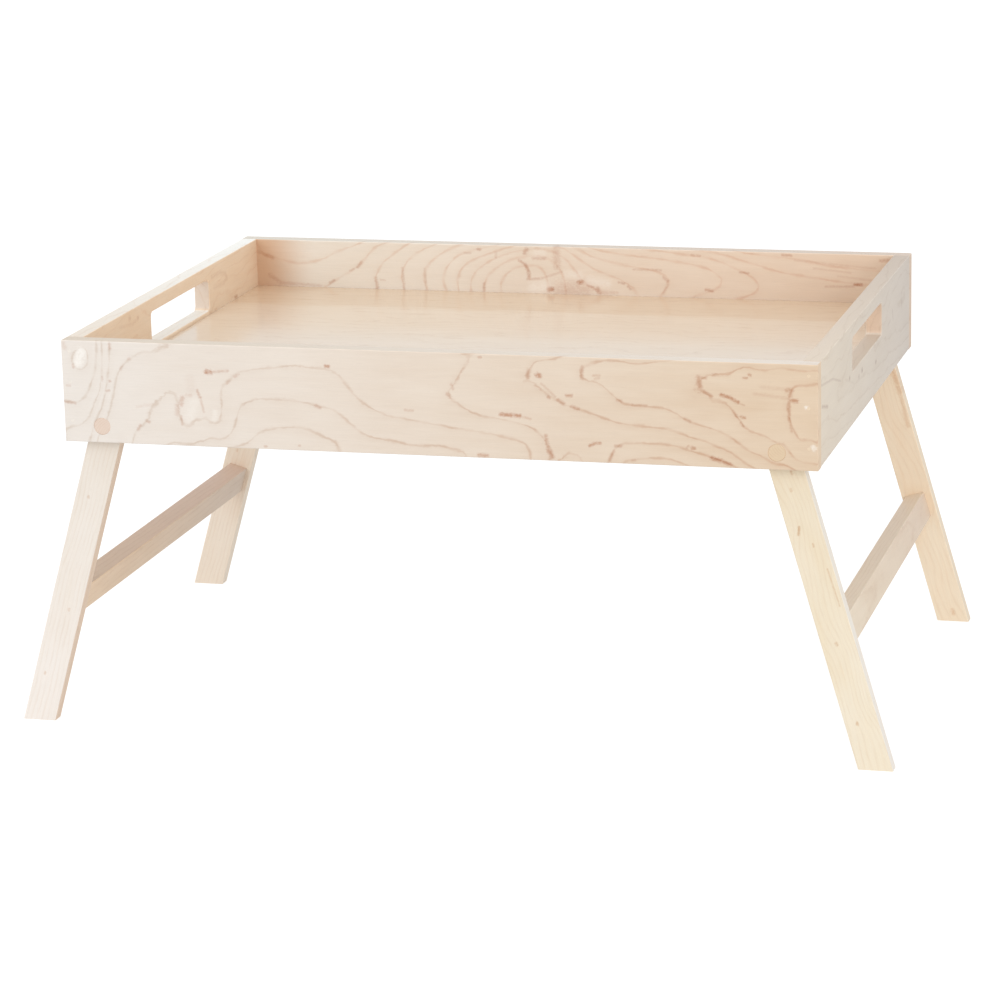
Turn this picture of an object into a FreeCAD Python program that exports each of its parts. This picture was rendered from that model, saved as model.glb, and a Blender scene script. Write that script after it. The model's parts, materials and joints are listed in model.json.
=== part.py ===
import FreeCAD, Part
import math
import os
import Sketcher

os.makedirs("parts", exist_ok=True)
doc = FreeCAD.newDocument("BedTray")

# ---------------------------------------------------------------------------
# Driving dimensions, millimetres and degrees
# ---------------------------------------------------------------------------
SIZES = [
    # the tray box
    ("tray_length", 560.0, "outside length, left to right"),
    ("tray_depth", 424.0, "outside depth, front to back"),
    ("rim_height", 297.2, "top of the rim above the surface the feet stand on"),
    ("wall_height", 76.0, "height of the four walls"),
    ("board", 12.7, "thickness of the wall boards"),
    ("floor_height", 30.9, "underside of the floor panel above the walls' lower edge"),
    ("floor_thickness", 6.0, "thickness of the floor panel"),
    ("tongue_thickness", 5.6, "thickness of the panel's edge, and height of the grooves"),
    ("groove_depth", 6.0, "depth of the grooves that hold the floor panel"),
    ("shoulder_gap", 0.2, "gap between the walls and the full thickness of the panel"),
    ("panel_gap", 0.4, "play round the floor panel's edge, for wood movement"),
    ("edge_round", 0.8, "easing of the boards' long edges"),
    # hand holes in the end walls
    ("slot_length", 134.0, "length of a hand hole"),
    ("slot_height", 25.4, "height of a hand hole"),
    ("slot_sill", 39.8, "lower edge of a hand hole above the wall's lower edge"),
    ("slot_corner", 4.0, "corner radius of a hand hole"),
    ("slot_round", 1.2, "easing of a hand hole's edges"),
    ("left_slot_shift", 11.0, "left hand hole's centre, towards the back"),
    ("right_slot_shift", -2.0, "right hand hole's centre, towards the back"),
    # folding legs
    ("splay", 16.2, "lean of the opened legs from upright, degrees"),
    ("leg_width", 24.4, "leg width, seen from the front"),
    ("leg_thickness", 11.5, "leg thickness, front to back"),
    ("leg_play", 0.3, "gap between a leg and the wall beside it"),
    ("stop_gap", 0.15, "gap between an opened leg and the end wall that stops it"),
    ("pivot_height", 12.3, "pivot above the walls' lower edge"),
    ("leg_round", 0.8, "easing of the legs' and stretchers' long edges"),
    # pivot dowels
    ("dowel_diameter", 12.7, "pivot dowel"),
    ("pivot_play", 0.08, "radial clearance of the leg's bore on the dowel"),
    ("dowel_chamfer", 0.4, "chamfer on both ends of a pivot dowel"),
    # stretchers
    ("stretcher_drop", 144.0, "stretcher's centre below the pivot, along the leg"),
    ("stretcher_height", 21.0, "stretcher's size along the leg"),
    ("stretcher_thickness", 15.6, "stretcher's size across the leg"),
    ("stretcher_inset", 1.2, "stretcher's centre inwards of the leg's centre line"),
    ("peg_diameter", 6.0, "pegs between stretcher and leg"),
    ("peg_spacing", 10.0, "distance between the two pegs of a joint"),
    ("peg_in_leg", 8.0, "peg length inside the leg"),
    ("peg_in_stretcher", 16.0, "peg length inside the stretcher"),
    # corner brads
    ("brad_diameter", 1.4, "brad shank"),
    ("brad_length", 32.0, "brad length over the head"),
    ("brad_head", 2.4, "brad head diameter"),
    ("brad_head_thickness", 1.0, "brad head thickness"),
    ("brad_set", 0.2, "brad head below the wall's face"),
    ("brad_low", 16.0, "lowest brad above the wall's lower edge"),
    ("brad_mid", 45.0, "middle brad above the wall's lower edge"),
    ("brad_high", 68.0, "highest brad above the wall's lower edge"),
]

sheet = doc.addObject("Spreadsheet::Sheet", "Sizes")
for row, (alias, number, note) in enumerate(SIZES, start=1):
    sheet.set("A%d" % row, alias)
    sheet.set("B%d" % row, str(number))
    sheet.setAlias("B%d" % row, alias)
    sheet.set("C%d" % row, note)

# Places that follow from the sizes
LAYOUT = [
    ("wall_foot", "=Sizes.rim_height - Sizes.wall_height", "walls' lower edge"),
    ("pivot_z", "=wall_foot + Sizes.pivot_height", "pivot axis height"),
    (
        "pivot_x",
        "=Sizes.tray_length / 2 - Sizes.board"
        " - (Sizes.stop_gap + Sizes.leg_width / 2) / cos(Sizes.splay)"
        " - Sizes.pivot_height * tan(Sizes.splay)",
        "pivot axis from the middle: the opened leg stops at the end wall's edge",
    ),
    ("end_length", "=Sizes.tray_depth - 2 * Sizes.board", "end wall between the long walls"),
    ("leg_y", "=Sizes.tray_depth / 2 - Sizes.board - Sizes.leg_play", "legs' outer faces"),
    ("bar_y", "=leg_y - Sizes.leg_thickness", "stretcher's ends"),
    (
        "bar_x",
        "=pivot_x + Sizes.stretcher_drop * sin(Sizes.splay)"
        " - Sizes.stretcher_inset * cos(Sizes.splay)",
        "stretcher's centre from the middle",
    ),
    (
        "bar_z",
        "=pivot_z - Sizes.stretcher_drop * cos(Sizes.splay)"
        " - Sizes.stretcher_inset * sin(Sizes.splay)",
        "stretcher's centre height",
    ),
    ("brad_x", "=(Sizes.tray_length - Sizes.board) / 2", "brads from the wall's middle"),
    ("brad_in_end", "=Sizes.brad_length + Sizes.brad_set - Sizes.board", "brad in the end wall"),
]
layout = doc.addObject("Spreadsheet::Sheet", "Layout")
for row, (alias, formula, note) in enumerate(LAYOUT, start=1):
    layout.set("A%d" % row, alias)
    layout.set("B%d" % row, formula)
    layout.setAlias("B%d" % row, alias)
    layout.set("C%d" % row, note)
doc.recompute()


def size(alias):
    """The number in the sheet cell of this alias."""
    for source in (sheet, layout):
        if source.getCellFromAlias(alias):
            return float(source.get(alias))
    raise KeyError(alias)


# ---------------------------------------------------------------------------
# Sketch and feature helpers
# ---------------------------------------------------------------------------
NODES = []


def new_body(label, x, y, z, turn="0"):
    """A body whose origin stands at x, y, z and is turned about the vertical."""
    body = doc.addObject("PartDesign::Body", label)
    body.Label = label
    body.AllowCompound = True
    body.Placement = FreeCAD.Placement(
        FreeCAD.Vector(0, 0, 0), FreeCAD.Rotation(FreeCAD.Vector(0, 0, 1), float(turn))
    )
    body.setExpression("Placement.Base.x", x)
    body.setExpression("Placement.Base.y", y)
    body.setExpression("Placement.Base.z", z)
    NODES.append(body)
    return body


def new_sketch(body, name, plane, offset=None):
    """A sketch on one of the body's own origin planes, or parallel to it."""
    sketch = body.newObject("Sketcher::SketchObject", body.Name + "_" + name)
    for feature in body.Origin.OriginFeatures:
        if feature.Role == plane:
            sketch.AttachmentSupport = [(feature, "")]
    sketch.MapMode = "FlatFace"
    if offset:
        sketch.setExpression("AttachmentOffset.Base.z", offset)
    return sketch


def bound(sketch, constraint, expression):
    """Add a dimension and bind it to the sheet."""
    index = sketch.addConstraint(constraint)
    sketch.setExpression("Constraints[%d]" % index, expression)
    return index


def place_point(sketch, geo, pos, x, y):
    """Hold a point at x, y from the sketch's origin; '0' holds it on the axis."""
    if x == "0":
        sketch.addConstraint(Sketcher.Constraint("PointOnObject", geo, pos, -2))
    else:
        bound(sketch, Sketcher.Constraint("DistanceX", -1, 1, geo, pos, 1.0), x)
    if y == "0":
        sketch.addConstraint(Sketcher.Constraint("PointOnObject", geo, pos, -1))
    else:
        bound(sketch, Sketcher.Constraint("DistanceY", -1, 1, geo, pos, 1.0), y)


def rectangle(sketch, left, bottom, width, height):
    """A rectangle from its lower left corner."""
    corners = [(1, 1), (2, 1), (2, 2), (1, 2)]
    lines = []
    for i in range(4):
        start = FreeCAD.Vector(corners[i][0], corners[i][1], 0)
        end = FreeCAD.Vector(corners[(i + 1) % 4][0], corners[(i + 1) % 4][1], 0)
        lines.append(sketch.addGeometry(Part.LineSegment(start, end), False))
    for i in range(4):
        sketch.addConstraint(
            Sketcher.Constraint("Coincident", lines[i], 2, lines[(i + 1) % 4], 1)
        )
    for i in (0, 2):
        sketch.addConstraint(Sketcher.Constraint("Horizontal", lines[i]))
    for i in (1, 3):
        sketch.addConstraint(Sketcher.Constraint("Vertical", lines[i]))
    place_point(sketch, lines[0], 1, left, bottom)
    bound(sketch, Sketcher.Constraint("DistanceX", lines[0], 1, lines[0], 2, 1.0), width)
    bound(sketch, Sketcher.Constraint("DistanceY", lines[1], 1, lines[1], 2, 1.0), height)


def circle(sketch, x, y, diameter):
    """A circle centred at x, y."""
    geo = sketch.addGeometry(
        Part.Circle(FreeCAD.Vector(1, 1, 0), FreeCAD.Vector(0, 0, 1), 1.0), False
    )
    place_point(sketch, geo, 3, x, y)
    bound(sketch, Sketcher.Constraint("Diameter", geo, 2.0), diameter)


def pad(body, sketch, length, reverse=False, both=False):
    """Extrude the sketch."""
    feature = body.newObject("PartDesign::Pad", sketch.Name + "_pad")
    feature.Profile = sketch
    feature.setExpression("Length", length)
    feature.Reversed = reverse
    feature.Midplane = both
    sketch.Visibility = False
    return feature


def pocket(body, sketch, length, reverse=False):
    """Cut the sketch and check that material went away."""
    doc.recompute()
    before = body.Shape.Volume
    feature = body.newObject("PartDesign::Pocket", sketch.Name + "_cut")
    feature.Profile = sketch
    feature.setExpression("Length", length)
    feature.Reversed = reverse
    doc.recompute()
    if body.Shape.Volume > before - 1e-6:
        raise RuntimeError(sketch.Name + " cuts nothing")
    return feature


def near(a, b):
    return abs(a - b) < 1e-5


def edge_names(shape, test):
    """Names of the edges whose every point passes the test."""
    names = []
    for number, edge in enumerate(shape.Edges, start=1):
        points = edge.discretize(5)
        if all(test(p) for p in points):
            names.append("Edge%d" % number)
    return names


def round_edges(body, name, radius, test):
    """Fillet the edges that pass the test, in the body's own frame."""
    doc.recompute()
    base = body.Tip
    names = edge_names(base.Shape, test)
    if not names:
        raise RuntimeError(name + " finds no edge")
    feature = body.newObject("PartDesign::Fillet", body.Name + "_" + name)
    feature.Base = (base, names)
    feature.setExpression("Radius", radius)
    doc.recompute()
    return feature


BRAD_ROWS = ("Sizes.brad_low", "Sizes.brad_mid", "Sizes.brad_high")


# ---------------------------------------------------------------------------
# Walls.  A wall's own frame: x along the board from its middle, z up from its
# lower edge, y from the outer face (0) to the inner face (board).
# ---------------------------------------------------------------------------
def wall_board(label, length, x, y, turn):
    """A plain board with the groove that holds the floor panel."""
    body = new_body(label, x, y, "Layout.wall_foot", turn)
    outline = new_sketch(body, "outline", "XZ_Plane")
    rectangle(outline, "-" + length + " / 2", "0", length, "Sizes.wall_height")
    pad(body, outline, "Sizes.board", reverse=True)
    return body


def long_wall(label, y, turn):
    """Front or back wall: runs the full length and covers the end walls' ends."""
    body = wall_board(label, "Sizes.tray_length", "0", y, turn)
    run = "(Sizes.tray_length - 2 * Sizes.board + 2 * Sizes.groove_depth)"
    groove = new_sketch(body, "groove", "XZ_Plane", "-Sizes.board")
    rectangle(groove, "-" + run + " / 2", "Sizes.floor_height", run, "Sizes.tongue_thickness")
    pocket(body, groove, "Sizes.groove_depth", reverse=True)
    bores = new_sketch(body, "bores", "XZ_Plane")
    for sign in ("-", ""):
        circle(bores, sign + "Layout.pivot_x", "Sizes.pivot_height", "Sizes.dowel_diameter")
    pocket(body, bores, "Sizes.board")
    shanks = new_sketch(body, "brad_shanks", "XZ_Plane")
    heads = new_sketch(body, "brad_heads", "XZ_Plane")
    for sign in ("-", ""):
        for row in BRAD_ROWS:
            circle(shanks, sign + "Layout.brad_x", row, "Sizes.brad_diameter")
            circle(heads, sign + "Layout.brad_x", row, "Sizes.brad_head")
    pocket(body, shanks, "Sizes.board")
    pocket(body, heads, "Sizes.brad_set + Sizes.brad_head_thickness")
    half = size("tray_length") / 2
    height = size("wall_height")
    board = size("board")

    def arris(p):
        on_face = near(p.y, 0) and (
            near(p.z, 0) or near(p.z, height) or near(abs(p.x), half)
        )
        on_top = near(p.z, height) and (near(p.y, board) or near(abs(p.x), half))
        return on_face or on_top

    round_edges(body, "easing", "Sizes.edge_round", arris)
    return body


def end_wall(label, x, turn, shift):
    """End wall: stands between the long walls and has the hand hole."""
    body = wall_board(label, "Layout.end_length", x, "0", turn)
    groove = new_sketch(body, "groove", "XZ_Plane", "-Sizes.board")
    rectangle(
        groove, "-Layout.end_length / 2", "Sizes.floor_height",
        "Layout.end_length", "Sizes.tongue_thickness",
    )
    pocket(body, groove, "Sizes.groove_depth", reverse=True)
    slot = new_sketch(body, "hand_hole", "XZ_Plane")
    rectangle(
        slot, shift + " - Sizes.slot_length / 2", "Sizes.slot_sill",
        "Sizes.slot_length", "Sizes.slot_height",
    )
    pocket(body, slot, "Sizes.board")
    board = size("board")
    height = size("wall_height")
    half = size("end_length") / 2
    sill = size("slot_sill")
    lintel = sill + size("slot_height")

    def slot_corner(p):
        inside = abs(p.x) < half - 1.0
        return inside and (near(p.z, sill) or near(p.z, lintel))

    def through_board(edge):
        ends = [v.Point for v in edge.Vertexes]
        return len(ends) == 2 and near(abs(ends[0].y - ends[1].y), board)

    doc.recompute()
    base = body.Tip
    corners = [
        "Edge%d" % number
        for number, edge in enumerate(base.Shape.Edges, start=1)
        if through_board(edge) and all(slot_corner(v.Point) for v in edge.Vertexes)
    ]
    rounded = body.newObject("PartDesign::Fillet", body.Name + "_corners")
    rounded.Base = (base, corners)
    rounded.setExpression("Radius", "Sizes.slot_corner")
    for end, sign, back in (("near", "-", False), ("far", "", True)):
        offset = sign + "Layout.end_length / 2"
        pins = new_sketch(body, "brad_holes_" + end, "YZ_Plane", offset)
        for row in BRAD_ROWS:
            circle(pins, "Sizes.board / 2", row, "Sizes.brad_diameter")
        pocket(body, pins, "Layout.brad_in_end", reverse=not back)

    middle = size("slot_sill") + size("slot_height") / 2
    reach = size("slot_length") / 2 + 0.01
    rise = size("slot_height") / 2 + 0.01
    centre = size("left_slot_shift" if "left" in label else "right_slot_shift")
    if "left" in label:
        centre = -centre

    def hole_edge(p):
        on_face = near(p.y, 0) or near(p.y, board)
        return on_face and abs(p.x - centre) < reach and abs(p.z - middle) < rise

    round_edges(body, "hand_hole_easing", "Sizes.slot_round", hole_edge)

    def arris(p):
        on_face = near(p.y, 0) and (near(p.z, 0) or near(p.z, height))
        return on_face or (near(p.z, height) and near(p.y, board))

    round_edges(body, "easing", "Sizes.edge_round", arris)
    return body


long_wall("front_wall", "-Sizes.tray_depth / 2", "0")
long_wall("back_wall", "Sizes.tray_depth / 2", "180")
end_wall("left_end_wall", "-Sizes.tray_length / 2", "-90", "-Sizes.left_slot_shift")
end_wall("right_end_wall", "Sizes.tray_length / 2", "90", "Sizes.right_slot_shift")

# ---------------------------------------------------------------------------
# Floor panel: a thinner edge all round sits in the four walls' grooves
# ---------------------------------------------------------------------------
panel = new_body("floor_panel", "0", "0", "Layout.wall_foot + Sizes.floor_height")
for layer, inset, thickness in (
    ("tongue", "Sizes.board - Sizes.groove_depth + Sizes.panel_gap", "Sizes.tongue_thickness"),
    ("face", "Sizes.board + Sizes.shoulder_gap", "Sizes.floor_thickness"),
):
    panel_x = "(Sizes.tray_length - 2 * (" + inset + "))"
    panel_y = "(Sizes.tray_depth - 2 * (" + inset + "))"
    sheet_outline = new_sketch(panel, layer, "XY_Plane")
    rectangle(sheet_outline, "-" + panel_x + " / 2", "-" + panel_y + " / 2", panel_x, panel_y)
    pad(panel, sheet_outline, thickness)


# ---------------------------------------------------------------------------
# Legs.  A leg's own frame: origin on the pivot axis at the leg's outer face.
# The top is round about the pivot and the foot is cut level.
# ---------------------------------------------------------------------------
def leg(label, side, end):
    """side: -1 left, 1 right; end: -1 front, 1 back."""
    side_sign = "-" if side < 0 else ""
    end_sign = "-" if end < 0 else ""
    body = new_body(
        label, side_sign + "Layout.pivot_x", end_sign + "Layout.leg_y", "Layout.pivot_z"
    )
    lean = math.radians(size("splay"))
    half = size("leg_width") / 2
    drop = size("pivot_z")
    out = FreeCAD.Vector(side * math.cos(lean), math.sin(lean), 0)
    down = FreeCAD.Vector(side * math.sin(lean), -math.cos(lean), 0)
    top_out = out * half
    top_in = out * -half
    foot_out = top_out + down * ((drop + top_out.y) / math.cos(lean))
    foot_in = top_in + down * ((drop + top_in.y) / math.cos(lean))
    crown = down * -half
    sketch = new_sketch(body, "outline", "XZ_Plane")
    arc = sketch.addGeometry(Part.Arc(top_out, crown, top_in), False)
    outer = sketch.addGeometry(Part.LineSegment(top_out, foot_out), False)
    foot = sketch.addGeometry(Part.LineSegment(foot_out, foot_in), False)
    inner = sketch.addGeometry(Part.LineSegment(foot_in, top_in), False)
    first = 1 if (sketch.getPoint(arc, 1) - top_out).Length < 1e-6 else 2
    last = 3 - first
    sketch.addConstraint(Sketcher.Constraint("Coincident", arc, 3, -1, 1))
    sketch.addConstraint(Sketcher.Constraint("Tangent", arc, first, outer, 1))
    sketch.addConstraint(Sketcher.Constraint("Coincident", outer, 2, foot, 1))
    sketch.addConstraint(Sketcher.Constraint("Coincident", foot, 2, inner, 1))
    sketch.addConstraint(Sketcher.Constraint("Tangent", inner, 2, arc, last))
    sketch.addConstraint(Sketcher.Constraint("Horizontal", foot))
    sketch.addConstraint(Sketcher.Constraint("Parallel", outer, inner))
    bound(sketch, Sketcher.Constraint("Radius", arc, half), "Sizes.leg_width / 2")
    bound(
        sketch, Sketcher.Constraint("DistanceY", foot, 1, -1, 1, drop), "Layout.pivot_z"
    )
    fall = sketch.addGeometry(
        Part.LineSegment(FreeCAD.Vector(0, 0, 0), FreeCAD.Vector(0, -10, 0)), True
    )
    sketch.addConstraint(Sketcher.Constraint("Coincident", fall, 1, -1, 1))
    sketch.addConstraint(Sketcher.Constraint("Vertical", fall))
    sketch.addConstraint(Sketcher.Constraint("DistanceY", fall, 2, fall, 1, 10.0))
    if side > 0:
        tilt = Sketcher.Constraint("Angle", fall, 1, outer, 1, lean)
    else:
        tilt = Sketcher.Constraint("Angle", outer, 1, fall, 1, lean)
    bound(sketch, tilt, "Sizes.splay")
    pad(body, sketch, "Sizes.leg_thickness", reverse=end < 0)

    bore = new_sketch(body, "bore", "XZ_Plane")
    circle(bore, "0", "0", "Sizes.dowel_diameter + 2 * Sizes.pivot_play")
    pocket(body, bore, "Sizes.leg_thickness", reverse=end > 0)

    inside = "-Sizes.leg_thickness" if end < 0 else "Sizes.leg_thickness"
    pegs = new_sketch(body, "peg_holes", "XZ_Plane", inside)
    for step in (" - ", " + "):
        along = "(Sizes.stretcher_drop" + step + "Sizes.peg_spacing / 2)"
        across = "Sizes.stretcher_inset"
        peg_x = along + " * sin(Sizes.splay) - " + across + " * cos(Sizes.splay)"
        peg_z = "-" + along + " * cos(Sizes.splay) - " + across + " * sin(Sizes.splay)"
        circle(pegs, side_sign + "(" + peg_x + ")", peg_z, "Sizes.peg_diameter")
    pocket(body, pegs, "Sizes.peg_in_leg", reverse=end < 0)

    thickness = size("leg_thickness")
    bore_radius = size("dowel_diameter") / 2 + size("pivot_play")

    def outline_edge(p):
        on_face = near(p.y, 0) or near(abs(p.y), thickness)
        x = p.x
        z = p.z
        across_leg = x * side * math.cos(lean) + z * math.sin(lean)
        on_side = near(abs(across_leg), half) and z < half
        on_crown = near(math.hypot(x, z), half) and half > bore_radius
        return on_face and (on_side or on_crown)

    round_edges(body, "easing", "Sizes.leg_round", outline_edge)
    return body


def stretcher(label, side):
    """Bar between the two legs of one frame, leaning with them."""
    side_sign = "-" if side < 0 else ""
    body = new_body(label, side_sign + "Layout.bar_x", "0", "Layout.bar_z")
    lean_sign = "" if side < 0 else "-"
    body.Placement.Rotation = FreeCAD.Rotation(FreeCAD.Vector(0, 1, 0), -side * 10.0)
    body.setExpression("Placement.Rotation.Axis.y", "1")
    body.setExpression("Placement.Rotation.Angle", lean_sign + "Sizes.splay")
    outline = new_sketch(body, "outline", "XZ_Plane")
    rectangle(
        outline, "-Sizes.stretcher_thickness / 2", "-Sizes.stretcher_height / 2",
        "Sizes.stretcher_thickness", "Sizes.stretcher_height",
    )
    pad(body, outline, "2 * Layout.bar_y", both=True)
    for end, sign, back in (("front", "", True), ("back", "-", False)):
        holes = new_sketch(body, "peg_holes_" + end, "XZ_Plane", sign + "Layout.bar_y")
        for step in ("-", ""):
            circle(holes, "0", step + "Sizes.peg_spacing / 2", "Sizes.peg_diameter")
        pocket(body, holes, "Sizes.peg_in_stretcher", reverse=not back)
    half_x = size("stretcher_thickness") / 2
    half_z = size("stretcher_height") / 2

    def long_edge(p):
        return near(abs(p.x), half_x) and near(abs(p.z), half_z)

    doc.recompute()
    base = body.Tip
    names = [
        "Edge%d" % number
        for number, edge in enumerate(base.Shape.Edges, start=1)
        if all(long_edge(v.Point) for v in edge.Vertexes)
        and len(edge.Vertexes) == 2
        and edge.Length > size("bar_y")
    ]
    eased = body.newObject("PartDesign::Fillet", body.Name + "_easing")
    eased.Base = (base, names)
    eased.setExpression("Radius", "Sizes.leg_round")
    return body


def stretcher_pegs(label, side, end):
    """The two pegs between one end of a stretcher and its leg."""
    side_sign = "-" if side < 0 else ""
    end_sign = "-" if end < 0 else ""
    body = new_body(
        label, side_sign + "Layout.bar_x", end_sign + "Layout.bar_y", "Layout.bar_z"
    )
    lean_sign = "" if side < 0 else "-"
    body.Placement.Rotation = FreeCAD.Rotation(FreeCAD.Vector(0, 1, 0), -side * 10.0)
    body.setExpression("Placement.Rotation.Axis.y", "1")
    body.setExpression("Placement.Rotation.Angle", lean_sign + "Sizes.splay")
    start = "Sizes.peg_in_leg" if end < 0 else "Sizes.peg_in_stretcher"
    rings = new_sketch(body, "rings", "XZ_Plane", start)
    for step in ("-", ""):
        circle(rings, "0", step + "Sizes.peg_spacing / 2", "Sizes.peg_diameter")
    pad(body, rings, "Sizes.peg_in_leg + Sizes.peg_in_stretcher", reverse=True)
    return body


def pivot_dowel(label, side, end):
    """Dowel glued in a long wall, flush with its face, that the leg turns on."""
    side_sign = "-" if side < 0 else ""
    end_sign = "-" if end < 0 else ""
    body = new_body(
        label, side_sign + "Layout.pivot_x", end_sign + "Sizes.tray_depth / 2",
        "Layout.pivot_z", "0" if end < 0 else "180",
    )
    ring = new_sketch(body, "ring", "XZ_Plane")
    circle(ring, "0", "0", "Sizes.dowel_diameter")
    pad(body, ring, "Sizes.board + Sizes.leg_play + Sizes.leg_thickness", reverse=True)
    doc.recompute()
    base = body.Tip
    rims = [
        "Edge%d" % number
        for number, edge in enumerate(base.Shape.Edges, start=1)
        if edge.isClosed()
    ]
    chamfer = body.newObject("PartDesign::Chamfer", body.Name + "_ends")
    chamfer.Base = (base, rims)
    chamfer.setExpression("Size", "Sizes.dowel_chamfer")
    return body


def corner_brads(label, side, end):
    """Three brads through a long wall into an end wall's end."""
    body = new_body(
        label, "0", ("-" if end < 0 else "") + "Sizes.tray_depth / 2",
        "Layout.wall_foot", "0" if end < 0 else "180",
    )
    side_sign = "-" if side * end > 0 else ""
    heads = new_sketch(body, "heads", "XZ_Plane", "-Sizes.brad_set")
    shanks = new_sketch(body, "shanks", "XZ_Plane", "-Sizes.brad_set")
    for row in BRAD_ROWS:
        circle(heads, side_sign + "Layout.brad_x", row, "Sizes.brad_head")
        circle(shanks, side_sign + "Layout.brad_x", row, "Sizes.brad_diameter")
    pad(body, shanks, "Sizes.brad_length", reverse=True)
    pad(body, heads, "Sizes.brad_head_thickness", reverse=True)
    return body


for side_name, side in (("left", -1), ("right", 1)):
    for end_name, end in (("front", -1), ("back", 1)):
        spot = end_name + "_" + side_name
        leg(spot + "_leg", side, end)
        pivot_dowel(spot + "_pivot_dowel", side, end)
        stretcher_pegs(spot + "_stretcher_pegs", side, end)
        corner_brads(spot + "_corner_brads", side, end)
    stretcher(side_name + "_stretcher", side)

# ---------------------------------------------------------------------------
# Check every object, then write each piece
# ---------------------------------------------------------------------------
doc.recompute()
for item in doc.Objects:
    if "Invalid" in item.State or "Error" in item.State:
        raise RuntimeError(item.Name + " is " + ", ".join(item.State))
for body in NODES:
    if body.Shape.isNull() or not body.Shape.isValid():
        raise RuntimeError(body.Label + " has no valid shape")
for body in NODES:
    body.Shape.exportStep("parts/" + body.Label + ".step")
    box = body.Shape.BoundBox
    print(
        "%-30s solids %d volume %10.1f x %7.2f..%7.2f y %7.2f..%7.2f z %7.2f..%7.2f"
        % (
            body.Label, len(body.Shape.Solids), body.Shape.Volume,
            box.XMin, box.XMax, box.YMin, box.YMax, box.ZMin, box.ZMax,
        )
    )
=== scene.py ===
"""Bed tray table in pale maple, dressed for the photograph.

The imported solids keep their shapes. Here they get their wood, their steel and their place in a plain bright
studio. Lengths inside the wood materials are millimetres on the board itself: along the grain, across the
face, through the thickness."""
import bpy, json, math
import numpy as np
from mathutils import Matrix, Vector


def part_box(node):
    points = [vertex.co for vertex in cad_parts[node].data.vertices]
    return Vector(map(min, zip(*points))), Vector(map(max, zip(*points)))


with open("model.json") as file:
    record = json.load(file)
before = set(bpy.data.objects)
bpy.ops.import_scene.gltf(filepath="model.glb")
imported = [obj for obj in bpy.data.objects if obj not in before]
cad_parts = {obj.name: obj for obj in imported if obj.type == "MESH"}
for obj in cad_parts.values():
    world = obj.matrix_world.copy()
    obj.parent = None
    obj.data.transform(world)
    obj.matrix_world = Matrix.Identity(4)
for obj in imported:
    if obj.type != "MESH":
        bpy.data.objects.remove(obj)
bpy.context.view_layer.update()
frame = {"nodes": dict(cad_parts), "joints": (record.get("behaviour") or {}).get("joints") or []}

node = frame["nodes"]

# Sizes of the boards in mm, and places in metres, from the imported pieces.
front_low, front_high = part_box("front_wall")
board_length, board_thickness, wall_height = (round(1000 * side, 1) for side in front_high - front_low)
inner_length = board_length - 2 * board_thickness
floor_top = round(1000 * (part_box("floor_panel")[1].z - front_low.z), 1)
tray_front = front_low.y
pivots = {joint["child"].split("_")[0]: Vector(joint["pos_m"]) for joint in frame["joints"]}


def tone(red, green, blue):
    """A colour read as a screen shows it, 0 to 255, turned into the linear light the renderer wants:
    c/12.92 in the darkest part, and ((c + 0.055)/1.055) to the power 2.4 above it."""
    def linear(c):
        c = c / 255
        return c / 12.92 if c <= 0.04045 else ((c + 0.055) / 1.055) ** 2.4
    return (linear(red), linear(green), linear(blue), 1.0)


# ------------------------------------------------------------------ laying nodes

def smooth(stations, rows, at):
    """Smooth curves through each row's heights at the stations, read off at other places. The slope at a
    station is the weighted harmonic mean of the slopes d before and after it, (w1 + w2)/(w1/d1 + w2/d2), or
    level where they turn, and each stretch is the cubic with those end slopes, so that a curve never swings
    past its stations."""
    stations, rows = np.asarray(stations), np.atleast_2d(rows)
    gaps = np.diff(stations)
    falls = np.diff(rows, axis=1) / gaps
    before, after = falls[:, :-1], falls[:, 1:]
    w1, w2 = 2 * gaps[1:] + gaps[:-1], gaps[1:] + 2 * gaps[:-1]
    turns = before * after <= 0
    d1, d2 = np.where(turns, 1.0, before), np.where(turns, 1.0, after)
    slopes = np.hstack([falls[:, :1], np.where(turns, 0.0, (w1 + w2) / (w1 / d1 + w2 / d2)), falls[:, -1:]])
    i = np.clip(np.searchsorted(stations, at, side="right") - 1, 0, len(gaps) - 1)
    t = (at - stations[i]) / gaps[i]
    bend = gaps[i] * t * (1 - t) * ((1 - t) * slopes[:, i] - t * slopes[:, i + 1])
    return rows[:, i] + (rows[:, i + 1] - rows[:, i]) * t * t * (3 - 2 * t) + bend


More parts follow.
